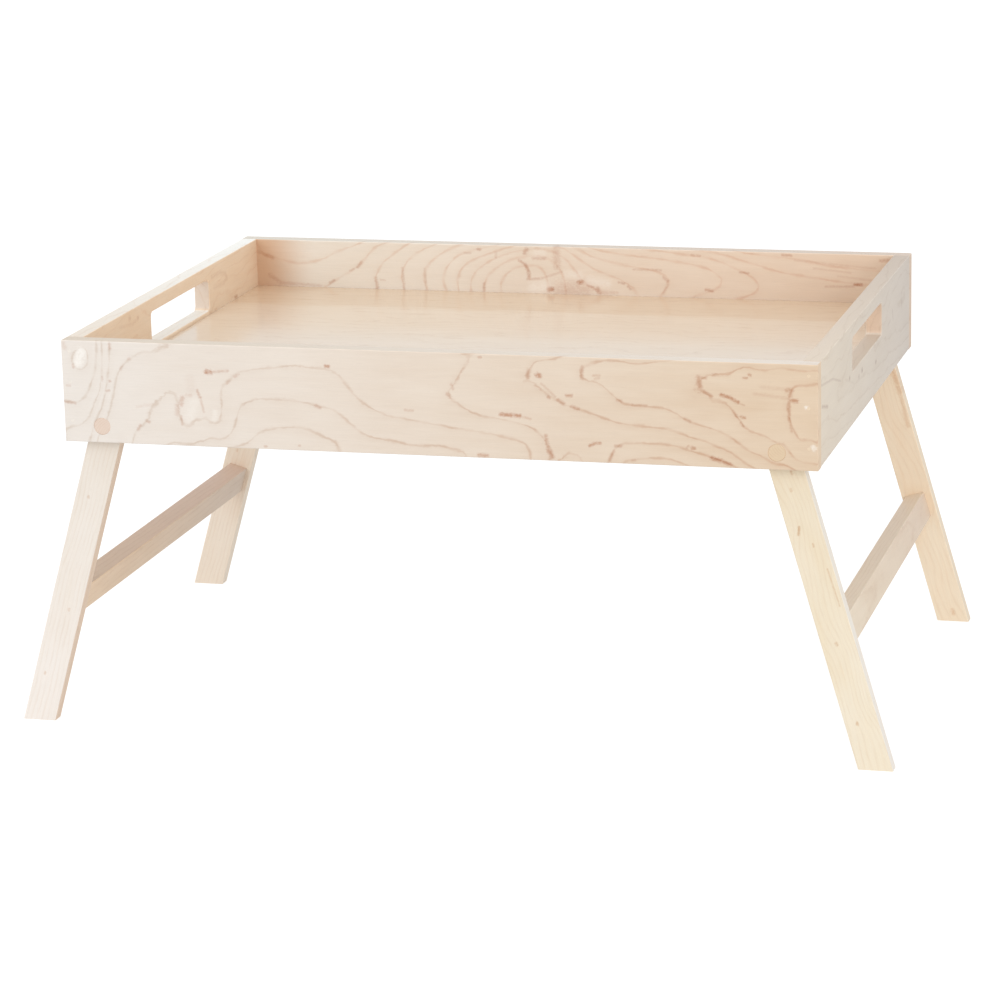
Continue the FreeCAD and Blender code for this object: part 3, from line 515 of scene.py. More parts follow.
# Where its coefficients are given, as shares of its length, and the eyes and sharp turns of its rings.
front_stations = [
    0, .016, .032, .048, .064, .082, .104, .129, .15, .164, .175, .189, .204, .216, .229, .246, .277, .321,
    .366, .411, .464, .518, .571, .616, .652, .688, .723, .759, .804, .848, .884, .92, .955, .979, 1]
front_swellings = [
    (14.5, 62.5, 8, 9.5, .94), (141, 80, 16, 7, -.29), (294, 45.5, 8, 9, .13), (347, 60, 8, 10, .31),
    (363, 67, 9, 8, .6), (394, 64, 8, 9, .14), (477, 58, 8, 8, -.07), (541, 45, 7, 14, .44),
    (384, 2, 8, 8, -.09), (105.5, 22, 3, 6, .14), (486, 76, 9, 6, -.25), (484, 62, 8, 5, .05),
    (479, 50, 5, 4, -.12), (265, 1, 11, 4, -.3), (36, -2, 5, 4, -.3), (118, -2, 9, 4, .5),
    (205, 80, 9, 6, -.25)]
# The same for the back board's inner face, from the left corner and above the tray floor.
back_height = 39.0
back_lines = [
    (1, [(0, 31), (8, 28), (27, 20), (48, 21), (64, 28), (83, 35), (88, 38)]),
    (2, [(20, 1), (40, -1), (58, 1), (63, 3), (72, 11), (86, 16), (96, 27), (104, 37)]),
    (3, [(104, 2), (103, 11), (107, 19), (115, 28), (131, 35)]),
    (4, [(127, 2), (126, 15), (128, 23), (142, 34)]),
    (5, [(146, 2), (144, 15), (150, 23), (160, 31), (172, 37)]),
    (6, [(162, 2), (162, 18), (171, 28), (184, 36)]),
    (7, [(174, 2), (176, 18), (187, 26), (198, 31)]),
    (8, [(184, 2), (184, 12), (193, 20), (203, 26), (216, 30)]),
    (9, [(197, 2), (198, 12), (206, 23), (214, 27), (224, 28)]),
    (10, [(211, 2), (213, 12), (220, 20), (233, 25), (243, 23), (248, 14), (250, 3)]),
    (9, [(224, 28), (240, 31), (256, 26), (262, 16), (266, 4)]),
    (8, [(230, 36), (250, 37), (268, 30), (278, 11), (294, 4), (297, 2)]),
    (7, [(262, 38), (285, 24), (307, 15), (321, 10), (323, 2)]),
    (6, [(288, 31), (321, 23), (345, 22), (350, 15), (345, 2)]),
    (5, [(310, 35), (345, 31), (374, 28), (393, 23), (396, 18), (382, 4)]),
    (4, [(350, 37), (380, 33), (405, 26), (421, 21), (429, 17), (425, 12), (420, 7), (418, 1)]),
    (3, [(395, 37), (420, 29), (438, 23), (476, 19), (508, 15), (534, 14)]),
    (2, [(440, 37), (470, 31), (505, 27), (534, 25)])]
back_between = [
    (20, 8, 1.5), (40, 10, 1.6), (5, 10, 1.2), (110, 10, 3.2), (233, 14, 10.6), (228, 8, 10.6),
    (300, 25, 7.4), (330, 5, 6.9), (370, 12, 5.6), (405, 10, 4.6), (500, 36, 1.5), (520, 32, 1.6),
    (530, 5, 3.4), (450, 5, 3.6), (480, 8, 3.3), (440, 14, 3.6), (60, 36, .6), (30, 34, .5)]
back_stations = [
    0, .034, .067, .105, .135, .165, .195, .224, .254, .281, .307, .333, .355, .378, .4, .423, .445, .468,
    .49, .513, .542, .572, .602, .636, .67, .703, .741, .778, .823, .87, .917, .958, 1]
front_rings = make_station_rings(
    "front board rings", board_length, wall_height, 0.075, front_stations,
    fit_rings(front_stations, 5, board_length, wall_height, front_swellings, front_lines, front_between),
    front_swellings)
back_rings = make_station_rings(
    "back board rings", inner_length, back_height, 0.06, back_stations,
    fit_even_rings(back_stations, 4, inner_length, back_height, back_lines, back_between), [])


# ------------------------------------------------------------------ wood materials

def board_place(b, along, across, corner):
    """Places on a board in mm: x along the grain, y across the face, z through it, from the corner given in
    metres. With them come three masks from the way the surface faces: the sawn ends, the long narrow edges,
    and the eased arrises between faces."""
    rows = [Vector(along).normalized(), Vector(across).normalized()]
    rows.append(rows[0].cross(rows[1]))
    turn = Matrix(rows)
    mapping = b.lay("ShaderNodeMapping", vector_type="POINT")
    coordinates = b.lay("ShaderNodeTexCoord")
    b.feed(mapping.inputs["Vector"], coordinates.outputs["Object"])
    mapping.inputs["Scale"].default_value = (1000, 1000, 1000)
    mapping.inputs["Rotation"].default_value = turn.to_euler("XYZ")
    mapping.inputs["Location"].default_value = -(turn @ Vector(corner)) * 1000
    normal = coordinates.outputs["Normal"]
    end = b.calc("ABSOLUTE", b.vec("DOT_PRODUCT", normal, tuple(rows[0]), out=1))
    edge = b.calc("ABSOLUTE", b.vec("DOT_PRODUCT", normal, tuple(rows[1]), out=1))
    face = b.calc("ABSOLUTE", b.vec("DOT_PRODUCT", normal, tuple(rows[2]), out=1))
    arris = b.ease(b.calc("MAXIMUM", b.calc("MAXIMUM", end, edge), face), 0.995, 0.85)
    return mapping.outputs[0], b.ease(end, 0.6, 0.95), b.ease(edge, 0.75, 0.97), arris


def finish_wood(b, face, bump=0.25, coat=0.0):
    """Sanded wood: the face's colour, roughness and relief on one shader, under a clear coat where there is
    one."""
    shader = b.lay("ShaderNodeBsdfPrincipled")
    relief = b.lay("ShaderNodeBump")
    relief.inputs["Strength"].default_value = bump
    relief.inputs["Distance"].default_value = 0.00018
    b.feed(relief.inputs["Height"], face["Height"])
    b.feed(shader.inputs["Normal"], relief.outputs[0])
    b.feed(shader.inputs["Base Color"], face["Colour"])
    b.feed(shader.inputs["Roughness"], face["Roughness"])
    shader.inputs["Coat Weight"].default_value = coat
    shader.inputs["Coat Roughness"].default_value = 0.16
    b.feed(b.lay("ShaderNodeOutputMaterial").inputs["Surface"], shader.outputs[0])


def new_material(name):
    material = bpy.data.materials.new(name)
    material.use_nodes = True
    material.node_tree.nodes.clear()
    return material, Bench(material.node_tree)


def strokes(b, place, marks):
    """The darkest of a list of dashes and spots, each (from x, y, to x, y, half width, strength) in mm, all
    with rims torn by the same fine noise and broken here and there along the grain."""
    x, y, _ = b.parts(place)
    flat = b.vec("MULTIPLY", place, (1, 1, 0))
    ragged = b.calc("MULTIPLY_ADD", b.noise(b.vec("MULTIPLY", flat, (0.45, 0.9, 1)), 1, 3, 0.6), 2.4, -1.2)
    whole = None
    for x1, y1, x2, y2, half, strength in marks:
        turn = math.atan2(y2 - y1, x2 - x1)
        c, s = math.cos(turn) / half, math.sin(turn) / half
        mx, my = (x1 + x2) / 2, (y1 + y2) / 2
        reach = math.hypot(x2 - x1, y2 - y1) / 2 / half
        one = b.use(grain_mark, Along=x, Across=y, Ragged=ragged, Cosine=c, Sine=s, Back_sine=-s,
                    Offset_along=-c * mx - s * my, Offset_across=s * mx - c * my, Reach=reach,
                    Strength=strength)["Mark"]
        whole = one if whole is None else b.calc("MAXIMUM", whole, one)
    broken = b.ease(b.noise(b.vec("MULTIPLY", flat, (0.4, 0.4, 1)), 1, 1), 0.3, 0.55, 0.6, 1.0)
    return b.calc("MULTIPLY", whole, broken)


def strayed(b, place, waves, steps):
    """A place on the board, moved as the growth strays there."""
    stray = b.use(uneven_growth, Position=place, Waves=waves, Steps=steps)
    return b.vec("ADD", place, b.joined(*stray[:3]))


def plain_maple(name, along, across, corner, pale, warm, line, share=0.5, strength=0.5, pith=(0.0, -60.0),
                lean=0.03, drift=0.0, width=6.0, ripple=0.6, line_width=0.07, fibre=1.0, seed=0.0, marks=(),
                mark_tone=(150, 105, 85), coat=0.0, bump=0.25, length=400.0, far=None, edge_tones_and_light=None,
                end_tint_and_light=None, shaded_zone_beyond=None):
    """A maple board whose figure is all sawn from one log. far are its two tones at the far end, where they
    differ from those at the near one, edge_tones_and_light those of its narrow edges, near and far, and
    beyond = (across, pale, warm) those past a wandering line at that many mm across the face. The edges'
    tones are partly painted light and shade, paler or darker as light falls on each edge. On the floor the
    tones past the line are partly painted shade and a painted reflection of the back wall."""
    material, b = new_material(name)
    place, end, edge, arris = board_place(b, along, across, corner)
    pale, warm = tone(*pale), tone(*warm)
    if far or edge_tones_and_light:
        way = b.calc("DIVIDE", b.parts(place)[0], length, clamp=True)
        if far:
            pale, warm = b.mix(way, pale, tone(*far[0])), b.mix(way, warm, tone(*far[1]))
        if edge_tones_and_light:
            # The narrow edges' tones are partly painted light and shade, as light falls on each edge.
            rim = b.mix(way, tone(*edge_tones_and_light[0]), tone(*edge_tones_and_light[1]))
            pale, warm = b.mix(edge, pale, rim), b.mix(edge, warm, rim)
    # Past a wandering line the face turns darker and warmer. On the floor this band by the back wall is
    # partly a warmer zone of the veneer and partly painted shade and a painted reflection of the back wall.
    if shaded_zone_beyond:
        wander = b.noise(b.vec("MULTIPLY", place, (0.012, 0.09, 0)), 1, 3, 0.6)
        past = b.ease(b.calc("MULTIPLY_ADD", wander, 44.0, b.parts(place)[1]), shaded_zone_beyond[0] + 18,
                      shaded_zone_beyond[0] + 30)
        pale, warm = b.mix(past, pale, tone(*shaded_zone_beyond[1])), b.mix(past, warm, tone(*shaded_zone_beyond[2]))
    shaken = strayed(b, place, 1.6, 0.8)
    level = b.use(log_rings, Position=shaken, Pith_across=pith[0], Pith_depth=pith[1], Lean=lean,
                  Drift=drift, Ring_width=width, Ripple=ripple, Seed=seed)["Level"]
    lines = b.use(soft_line, Level=level, Width=line_width)
    face = b.use(maple_face, Position=place, Pale=pale, Warm=warm, Warm_share=share, Line=lines["Line"],
                 Halo=lines["Halo"], Line_colour=tone(*line), Line_strength=strength,
                 Marks=strokes(b, place, marks) if marks else 0.0, Mark_colour=tone(*mark_tone),
                 End_grain=end, End_colour=end_tint_and_light, Arris=arris, Fibre=fibre, Seed=seed)
    finish_wood(b, face, bump=bump, coat=coat)
    return material


def figured_maple(name, corner, rings, fold, tones, line_tones, marks, mark_tone, pith, seed,
                  edge_tones_and_light, pale_spots, strength=0.55, end_tint_and_light=None, line_width=0.8, corner_shade_and_bounce=None):
    """A long board whose one face, the one towards the front, carries a figure of its own and whose other
    face is plain. Between the two, 3 to 11 mm under the figured face, the ring level passes smoothly from
    one to the other and the marks fade. fold is a corner of the figured part, below which the rings are
    mirrored. tones are the colours at the left end and at the right, and corner_shade_and_bounce = (reach,
    pale, warm) other ones within that many mm of the left end: darker and warmer, painted shade and painted
    warm light bounced from the left end board into the corner."""
    material, b = new_material(name)
    place, end, edge, arris = board_place(b, (1, 0, 0), (0, 0, 1), corner)
    shaken = strayed(b, place, 1.1, 1.1)
    x, _, z = b.parts(place)
    deep = b.ease(b.calc("MULTIPLY", z, -1.0), 3.0, 11.0)
    shown = b.calc("SUBTRACT", 1.0, deep)
    plain = b.use(log_rings, Position=shaken, Pith_across=pith[0], Pith_depth=pith[1], Lean=0.05, Drift=0.01,
                  Ring_width=6.5, Ripple=0.7, Seed=seed)["Level"]

    def level_at(shift):
        at = b.vec("ADD", shaken, shift) if shift else shaken
        if fold is not None:
            ax, ay, az = b.parts(at)
            up = b.calc("SUBTRACT", ay, fold[1])
            at = b.joined(b.calc("SUBTRACT", ax, fold[0]),
                          b.calc("SQRT", b.calc("MULTIPLY_ADD", up, up, 2.0)), az)
        return b.mixed_value(deep, b.use(rings, Position=at)["Level"], plain)

    step = 1.5
    lines = b.use(ring_line, Level=level_at(None), Level_along=level_at((step, 0, 0)),
                  Level_across=level_at((0, step, 0)), Step=step, Width=line_width,
                  Swell=b.ease(b.noise(b.scaled(place, 0.09), 1, 2), 0.3, 0.7, 0.55, 1.5))
    way = b.calc("DIVIDE", x, board_length, clamp=True)
    pale = b.mix(way, tone(*tones[0]), tone(*tones[2]))
    warm = b.mix(way, tone(*tones[1]), tone(*tones[3]))
    # Towards the left end the face turns darker and warmer: painted shade and painted warm light bounced from
    # the left end board into the corner.
    if corner_shade_and_bounce:
        corner_shade_share = b.calc("MULTIPLY", b.ease(x, corner_shade_and_bounce[0], corner_shade_and_bounce[0] / 4), shown)
        pale, warm = b.mix(corner_shade_share, pale, tone(*corner_shade_and_bounce[1])), b.mix(corner_shade_share, warm, tone(*corner_shade_and_bounce[2]))
    # The narrow edges' tones are partly painted light and shade, as light falls on the top and bottom faces.
    rim = b.mix(way, tone(*edge_tones_and_light[0]), tone(*edge_tones_and_light[1]))
    pale, warm = b.mix(edge, pale, rim), b.mix(edge, warm, rim)
    line_colour = b.mix(way, tone(*line_tones[0]), tone(*line_tones[1]))
    face = b.use(maple_face, Position=place, Pale=pale, Warm=warm, Warm_share=0.5, Line=lines["Line"],
                 Halo=lines["Halo"], Line_colour=line_colour, Line_strength=strength,
                 Marks=b.calc("MULTIPLY", strokes(b, place, marks), shown), Mark_colour=tone(*mark_tone),
                 Pale_spots=b.calc("MULTIPLY", strokes(b, place, pale_spots), shown), End_grain=end,
                 End_colour=end_tint_and_light, Arris=arris, Fibre=0.8, Cloud=0.8, Seed=seed)
    finish_wood(b, face)
    return material


def dress(name, material):
    """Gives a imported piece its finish."""
    slots = node[name].data.materials
    slots.clear()
    slots.append(material)


# Dashes and spots, in mm on the face: from x, y, to x, y, half width, strength.
front_marks = [
    (1, 30.2, 9, 29.2, 1.0, 0.4), (3, 42, 5.5, 42, 0.8, 0.25), (2, 74, 3, 70, 1.4, 0.2),
    (36.5, 46.5, 37, 46.5, 0.8, 0.4), (34, 39, 36, 39.5, 0.8, 0.35), (31, 49.5, 31, 47, 0.7, 0.25),
    (38, 74, 38, 71, 1.0, 0.35), (8.7, 58, 8.9, 56, 0.9, 0.35), (92.3, 36, 91.2, 31, 1.5, 0.4),
    (88.4, 30, 88, 24, 1.6, 0.26), (91, 22, 91.4, 16, 0.8, 0.3), (96, 38, 99, 38, 1.3, 0.22),
    (99, 50, 99.5, 42, 3.0, 0.07), (104, 42, 105.4, 38, 1.0, 0.4), (105.8, 36.7, 106.4, 36.3, 0.9, 0.5),
    (106.5, 34.5, 108.6, 26, 0.8, 0.3), (57, 28, 67, 30, 0.9, 0.14), (64, 17.6, 66, 17, 1.0, 0.4),
    (57, 11, 59, 14, 1.0, 0.35), (52, 63.4, 53, 63.8, 1.0, 0.22), (46, 56, 46.6, 57.5, 1.0, 0.22),
    (111.5, 56, 114.5, 55.8, 1.5, 0.8), (115, 56, 128, 57.2, 0.9, 0.35), (133, 53, 136, 54.7, 0.9, 0.3),
    (127, 48, 129, 49.5, 0.9, 0.3), (154, 2.2, 155.5, 2.2, 0.7, 0.4), (180, 3.5, 181, 3.5, 0.7, 0.35),
    (202.6, 63.2, 204.4, 63, 1.1, 0.75), (194, 33.7, 197, 32.6, 1.1, 0.4), (261, 33, 267, 33, 0.8, 0.3),
    (331.8, 32.6, 346, 32, 1.2, 0.75), (346, 31.6, 353.5, 30, 0.8, 0.3), (292.5, 46, 294.5, 44, 1.1, 0.35),
    (297, 50, 296, 53, 1.0, 0.3), (364.4, 18, 366, 10, 1.2, 0.5), (366.4, 8, 369, 3, 1.5, 0.6),
    (315, 2, 321, 2, 1.2, 0.55), (359.3, 62.2, 360.8, 61.6, 1.5, 0.75), (316.5, 73.6, 318, 73.6, 0.8, 0.5),
    (367, 46.6, 367.6, 46, 1.0, 0.5), (374, 44.4, 378, 42, 1.2, 0.5), (384, 40, 388.5, 38.5, 1.1, 0.5),
    (362, 56, 372, 47, 0.8, 0.25), (380, 48, 384, 48, 1.0, 0.6), (352.4, 66, 352.2, 60, 1.0, 0.3),
    (396.5, 12.2, 399.5, 13.7, 1.0, 0.65), (399.5, 13.7, 404, 14.3, 1.0, 0.6),
    (400, 63, 404.5, 63.3, 0.8, 0.3), (401, 60.6, 404, 61.3, 0.8, 0.25), (392, 69, 391.5, 61, 1.1, 0.35),
    (417, 46, 420, 45.4, 0.9, 0.4), (428, 43, 438, 43, 0.8, 0.3), (415, 12.7, 419, 12.7, 0.9, 0.4),
    (411, 2, 414, 9, 0.9, 0.35), (427, 2.6, 429, 3, 0.9, 0.3), (465.5, 34.4, 469, 32.5, 1.0, 0.35),
    (467, 13.6, 468, 14.6, 0.8, 0.4), (470.5, 13.4, 472, 13.2, 1.2, 0.6), (484.5, 6.8, 491, 5, 1.3, 0.75),
    (491, 5, 498, 2.5, 1.1, 0.65), (475.5, 64, 476.5, 58, 1.6, 0.5), (477, 64, 481, 64, 0.9, 0.4),
    (479.5, 54.5, 485, 51.5, 0.9, 0.4), (486, 66.5, 488.5, 66.8, 0.9, 0.35),
    (491.5, 52.4, 497, 51, 1.1, 0.8), (497, 51, 503.6, 47.6, 1.1, 0.75), (504, 47, 508, 45.5, 0.6, 0.3),
    (500, 41, 503, 37, 0.9, 0.35), (505.5, 33, 507, 30.5, 0.8, 0.4), (505.8, 37.2, 508, 36.6, 1.0, 0.6),
    (507.5, 65, 510, 65, 0.8, 0.5), (511.5, 67.6, 512.5, 67.2, 0.9, 0.6), (538, 57.5, 541, 57.2, 1.5, 0.5),
    (540.6, 57, 540.6, 52, 1.4, 0.4), (541.2, 50, 545, 49.8, 1.3, 0.75), (540, 49, 539.7, 36, 0.9, 0.45),
    (540, 36, 541.5, 28, 0.8, 0.35), (515, 54, 539, 51.6, 1.1, 0.18), (520, 59, 537, 58, 1.2, 0.13)]
front_pale_spots = [
    (12.6, 59.5, 15.6, 67.5, 3.1, 0.85), (551.8, 45.6, 552.3, 45.6, 1.1, 0.75),
    (556.8, 17, 557.4, 16.5, 1.6, 0.7), (98, 22, 101, 33, 3.5, 0.3), (116, 20, 117, 26, 1.8, 0.35)]
back_marks = [
    (251.5, 3.5, 253.5, 3.8, 1.8, 0.85), (262, 3, 280, 4, 6.5, 0.3), (276, 10, 278.5, 10.4, 1.6, 0.85),
    (283, 7.5, 288, 6.5, 1.1, 0.5), (291.5, 5, 293.5, 2, 1.8, 0.55), (295, 3, 308, 2.2, 1.2, 0.22),
    (257.4, 38, 258, 23, 2.6, 0.3), (226, 27, 231, 24, 1.0, 0.45), (231, 24, 234, 18, 1.2, 0.6),
    (234, 18, 234.5, 12, 1.3, 0.5), (231, 33.5, 232.6, 36, 1.6, 0.45), (238, 29.3, 248, 29, 1.2, 0.4),
    (233, 11.5, 245, 12.5, 1.0, 0.35), (245, 12.5, 262, 18.5, 0.9, 0.25), (1, 28.5, 8, 26, 1.2, 0.25),
    (8, 26, 14, 24, 1.5, 0.3), (11, 9, 20, 3, 1.6, 0.28), (20, 3, 55, 1.2, 1.1, 0.25),
    (63, 4, 67, 6, 1.0, 0.4), (87.5, 18, 91, 22, 1.1, 0.4), (81, 14.6, 84, 16, 0.9, 0.3),
    (191.5, 35.6, 193, 35.4, 1.2, 0.4), (180, 32, 185, 32, 0.8, 0.25), (104.5, 1, 103, 9, 1.2, 0.35),
    (107, 7.5, 111, 7.5, 0.7, 0.25), (195.5, 1, 196, 7, 1.0, 0.35), (127.5, 1, 126.4, 18, 1.0, 0.3),
    (146.5, 1, 145.5, 18, 0.9, 0.2), (382, 7, 387, 6, 1.2, 0.5), (503.5, 14.5, 509, 14.5, 1.0, 0.75),
    (480, 12.3, 503, 13, 0.8, 0.3), (524, 34.5, 530, 35, 1.2, 0.4), (445, 37, 452, 37, 1.0, 0.4),
    (370, 35, 377, 34.5, 0.9, 0.3), (410, 22, 417, 21.5, 0.8, 0.4), (310, 11, 314, 10, 1.0, 0.4),
    (317, 8, 319.5, 5.5, 0.9, 0.4), (322, 22, 345, 22, 0.8, 0.28), (347, 16.5, 350, 13, 1.1, 0.35),
    (350, 10, 347, 3, 1.1, 0.25), (206.5, 33, 206.5, 29, 1.0, 0.25), (470, 27, 500, 24, 0.8, 0.18),
    (455, 33, 520, 28, 0.8, 0.16), (490, 21, 520, 18, 0.8, 0.16)]
back_pale_spots = [
    (238, 5, 247, 6, 4.0, 0.5), (285, 12, 300, 10, 3.0, 0.45), (266, 16.5, 277, 16, 3.0, 0.4),
    (240, 33, 246, 34, 3.0, 0.4)]
left_end_marks = [
    (297, 66, 318, 65.5, 1.7, 0.16), (318, 65.5, 330, 62.5, 1.7, 0.2), (330, 62.5, 334, 58, 1.7, 0.24),
    (334, 58, 325, 55.6, 1.6, 0.2), (325, 55.6, 302, 56, 1.6, 0.13), (108.6, 70, 110, 70, 1.7, 0.32),
    (126, 67.2, 128, 67, 1.4, 0.32), (88, 67.2, 115.7, 64.8, 1.3, 0.14),
    (115.7, 64.8, 127, 66.4, 1.3, 0.18), (352, 38.5, 357, 38.5, 1.3, 0.6), (301, 38, 306, 38, 0.9, 0.3),
    (289, 38, 293, 38, 0.9, 0.3)]
right_end_marks = [
    (16, 42.8, 40, 37.4, 1.1, 0.45), (12, 58.5, 60, 53, 0.8, 0.3), (60, 53, 94, 44, 0.8, 0.3),
    (184, 32, 186, 32, 1.6, 0.65), (130, 38, 131, 37.6, 1.7, 0.55), (170.5, 30.2, 172, 30.2, 1.4, 0.45),
    (247, 25, 249, 25, 1.4, 0.65), (373, 44, 374, 48, 1.8, 0.25), (327, 48, 330, 42, 1.6, 0.25),
    (305, 41.6, 318, 42.5, 1.0, 0.15), (112, 41, 150, 30, 0.8, 0.12)]
back_marks, back_pale_spots = (
    [(x1 + board_thickness, y1 + floor_top, x2 + board_thickness, y2 + floor_top, half, strength)
     for x1, y1, x2, y2, half, strength in them] for them in (back_marks, back_pale_spots))

dress("front_wall", figured_maple(
    "front board maple", front_low, front_rings, None,
    ((239, 232, 225), (232, 222, 212), (230, 209, 184), (216, 187, 155)), ((220, 206, 192), (216, 170, 142)),
    front_marks, (206, 154, 124), (30.0, 40.0), 3.0, ((221, 206, 188), (236, 224, 211)),
    # The end grain is made paler than the face: a painted highlight on the board's ends.
    front_pale_spots, end_tint_and_light=(1.13, 1.13, 1.13, 1)))
dress("back_wall", figured_maple(
    "back board maple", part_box("back_wall")[0], back_rings, (board_thickness, floor_top),
    ((244, 240, 232), (235, 227, 214), (239, 217, 196), (228, 200, 175)), ((226, 188, 162), (226, 182, 156)),
    back_marks, (202, 150, 122), (44.0, 44.0), 7.0, ((225, 217, 204), (219, 200, 184)),
    # The last tones darken the left corner: painted shade and painted warm bounced light.
    back_pale_spots, strength=0.4, line_width=1.0, corner_shade_and_bounce=(66.0, (224, 190, 162), (212, 176, 144))))
dress("left_end_wall", plain_maple(
    "left end maple", (0, 1, 0), (0, 0, 1), front_low, (246, 225, 201), (237, 207, 174), (220, 180, 146),
    # Its narrow top edge goes nearly white towards the far end: a painted highlight over the wood.
    share=0.5, strength=0.2, edge_tones_and_light=((238, 225, 209), (254, 252, 246)),
    # The end grain is tinted cool and grey: painted shade in the hand hole over the end grain's own colour.
    end_tint_and_light=(0.89, 0.955, 1.09, 1), pith=(30.0, -46.0), lean=0.05, width=8.0, seed=11.0,
    marks=left_end_marks, mark_tone=(196, 152, 122)))
dress("right_end_wall", plain_maple(
    "right end maple", (0, 1, 0), (0, 0, 1), (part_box("right_end_wall")[0].x, tray_front, front_low.z),
    (238, 225, 206), (230, 213, 191), (206, 188, 170), share=0.5, strength=0.22,
    far=((222, 210, 198), (210, 196, 182)), edge_tones_and_light=((230, 213, 193), (206, 189, 173)),
    # The end grain is tinted warm orange: partly the end grain's own colour, partly painted warm reflected
    # light in the hand hole.
    end_tint_and_light=(1.03, 0.9, 0.81, 1), pith=(44.0, 60.0), lean=-0.05, width=7.0, seed=17.0,
    marks=right_end_marks, mark_tone=(186, 160, 150)))
# The floor's band by the back wall is darker and warmer: partly the veneer, partly painted shade and a
# painted reflection of the back wall.
dress("floor_panel", plain_maple(
    "floor veneer", (1, 0, 0), (0, 1, 0),
    (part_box("left_end_wall")[1].x, front_high.y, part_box("floor_panel")[0].z),
    (238, 219, 197), (229, 207, 181), (206, 176, 146), share=0.5, strength=0.22, pith=(150.0, -70.0),
    lean=0.04, width=11.0, ripple=1.2, fibre=0.6, seed=23.0, coat=1.0, bump=0.05,
    shaded_zone_beyond=(322.0, (230, 205, 176), (221, 193, 162))))

# Each leg's pale and warm tones at the pivot, the same at the foot, and its narrow edges' tones at both, most
# of them lighter towards the foot. Besides the wood they hold painted light and shade: the back right leg's
# tones are raised to stand in for the light the tray keeps off it. The narrow side edges are darker where
# they face away from the light under the tray (front left) and paler where they face up to it (front right).
leg_tones_and_light = {
    "front_left": ((238, 229, 219), (231, 219, 203), (250, 243, 237), (244, 233, 222), (236, 211, 187),
                   (241, 216, 193)),
    "back_left": ((243, 230, 212), (235, 214, 191), (247, 235, 220), (239, 220, 199), (240, 224, 204),
                  (242, 228, 210)),
    "front_right": ((238, 225, 202), (231, 211, 178), (247, 237, 219), (241, 224, 194), (244, 234, 219),
                    (249, 241, 231)),
    "back_right": ((254, 237, 212), (250, 222, 190), (252, 237, 213), (248, 223, 192), (244, 226, 200),
                   (244, 226, 200))}
leg_marks = {
    "front_left": [(60, 2, 61, 2, 0.8, 0.35), (150, -3, 151, -3, 0.8, 0.4), (205, 4, 206, 4, 0.8, 0.4)],
    "back_left": [(120, 3, 122, 3, 0.7, 0.3)],
    "front_right": [
        (18, 3, 19, 3, 1.0, 0.6), (30, -1, 31, -1, 0.9, 0.4), (58, -3, 63, -5, 0.8, 0.6),
        (72, 3, 74, 3, 0.6, 0.4), (146, -1, 147, -1, 1.0, 0.5), (206, -3, 207, -3, 1.0, 0.5),
        (92, 8, 120, 9, 0.5, 0.35)],
    "back_right": [(12, 8.5, 50, 10.5, 2.0, 0.4), (50, 10.5, 78, 9, 1.4, 0.3), (234, 2, 237, 2, 1.4, 0.4)]}
splay = math.radians(16.2)     # the open legs' lean from upright
for number, (corner, (pale, warm, *others)) in enumerate(leg_tones_and_light.items()):
    side = -1 if corner.endswith("left") else 1
    pivot = pivots[corner.split("_")[1]]
    top = (pivot.x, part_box(corner + "_leg")[0].y, pivot.z)
    dress(corner + "_leg", plain_maple(
        corner.replace("_", " ") + " leg maple", (side * math.sin(splay), 0, -math.cos(splay)),
        (side * math.cos(splay), 0, math.sin(splay)), top, pale, warm, (214, 184, 150),
        share=0.45, strength=0.13, pith=(-70.0 * side, 30.0 + 9 * number), lean=0.004, drift=0.012,
        width=3.2, ripple=0.35, line_width=0.16, length=245.0, far=others[:2], edge_tones_and_light=others[2:],
        seed=31.0 + 5 * number, marks=leg_marks[corner], mark_tone=(212, 168, 122)))
# Each stretcher's pale and warm tones at the front, the same at the back, and its narrow edges' at both. Both
# are darker towards the back, and the left one's top and bottom faces darker still: painted shade where the
# tray keeps the light off them.
stretcher_tones_and_shade = {
    "left": ((250, 225, 196), (236, 206, 173), (223, 206, 190), (209, 188, 168), (209, 186, 164),
             (219, 194, 178)),
    "right": ((245, 230, 207), (233, 212, 185), (235, 214, 193), (224, 197, 172), (240, 225, 204),
              (241, 223, 202))}
for side, name in ((-1, "left"), (1, "right")):
    low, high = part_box(name + "_stretcher")
    dress(name + "_stretcher", plain_maple(
        name + " stretcher maple", (0, 1, 0), (0, 0, 1), ((low.x + high.x) / 2, low.y, (low.z + high.z) / 2),
        *stretcher_tones_and_shade[name][:2], (206, 176, 148), length=375.0, far=stretcher_tones_and_shade[name][2:4],
        edge_tones_and_light=stretcher_tones_and_shade[name][4:], share=0.5, strength=0.18, pith=(16.0, 50.0), lean=0.02,
        width=3.6,
        ripple=0.5, line_width=0.12, seed=53.0 + side))

dowel_tones = {
    "left": ((242, 222, 206), (236, 212, 194), (222, 196, 178)),
    "right": ((236, 212, 180), (230, 202, 168), (216, 184, 150))}
dowel_wood = {}
for side, name in ((-1, "left"), (1, "right")):
    dowel_wood[name] = plain_maple(
        name + " dowel maple", (0, 1, 0), (0, 0, 1), (pivots[name].x, tray_front, pivots[name].z),
        *dowel_tones[name], share=0.5, strength=0.2, pith=(9.0 * side, 9.0), lean=0.0, width=1.9, ripple=0.3,
        line_width=0.14, seed=62.0 + side)
peg_wood = plain_maple("peg maple", (0, 1, 0), (0, 0, 1), (0.0, 0.0, 0.095), (236, 218, 196),
                       (226, 202, 174), (204, 172, 140),
                       share=0.5, strength=0.3, pith=(-6.0, 4.0), lean=0.0, width=1.6, ripple=0.3,
                       line_width=0.12, seed=67.0)


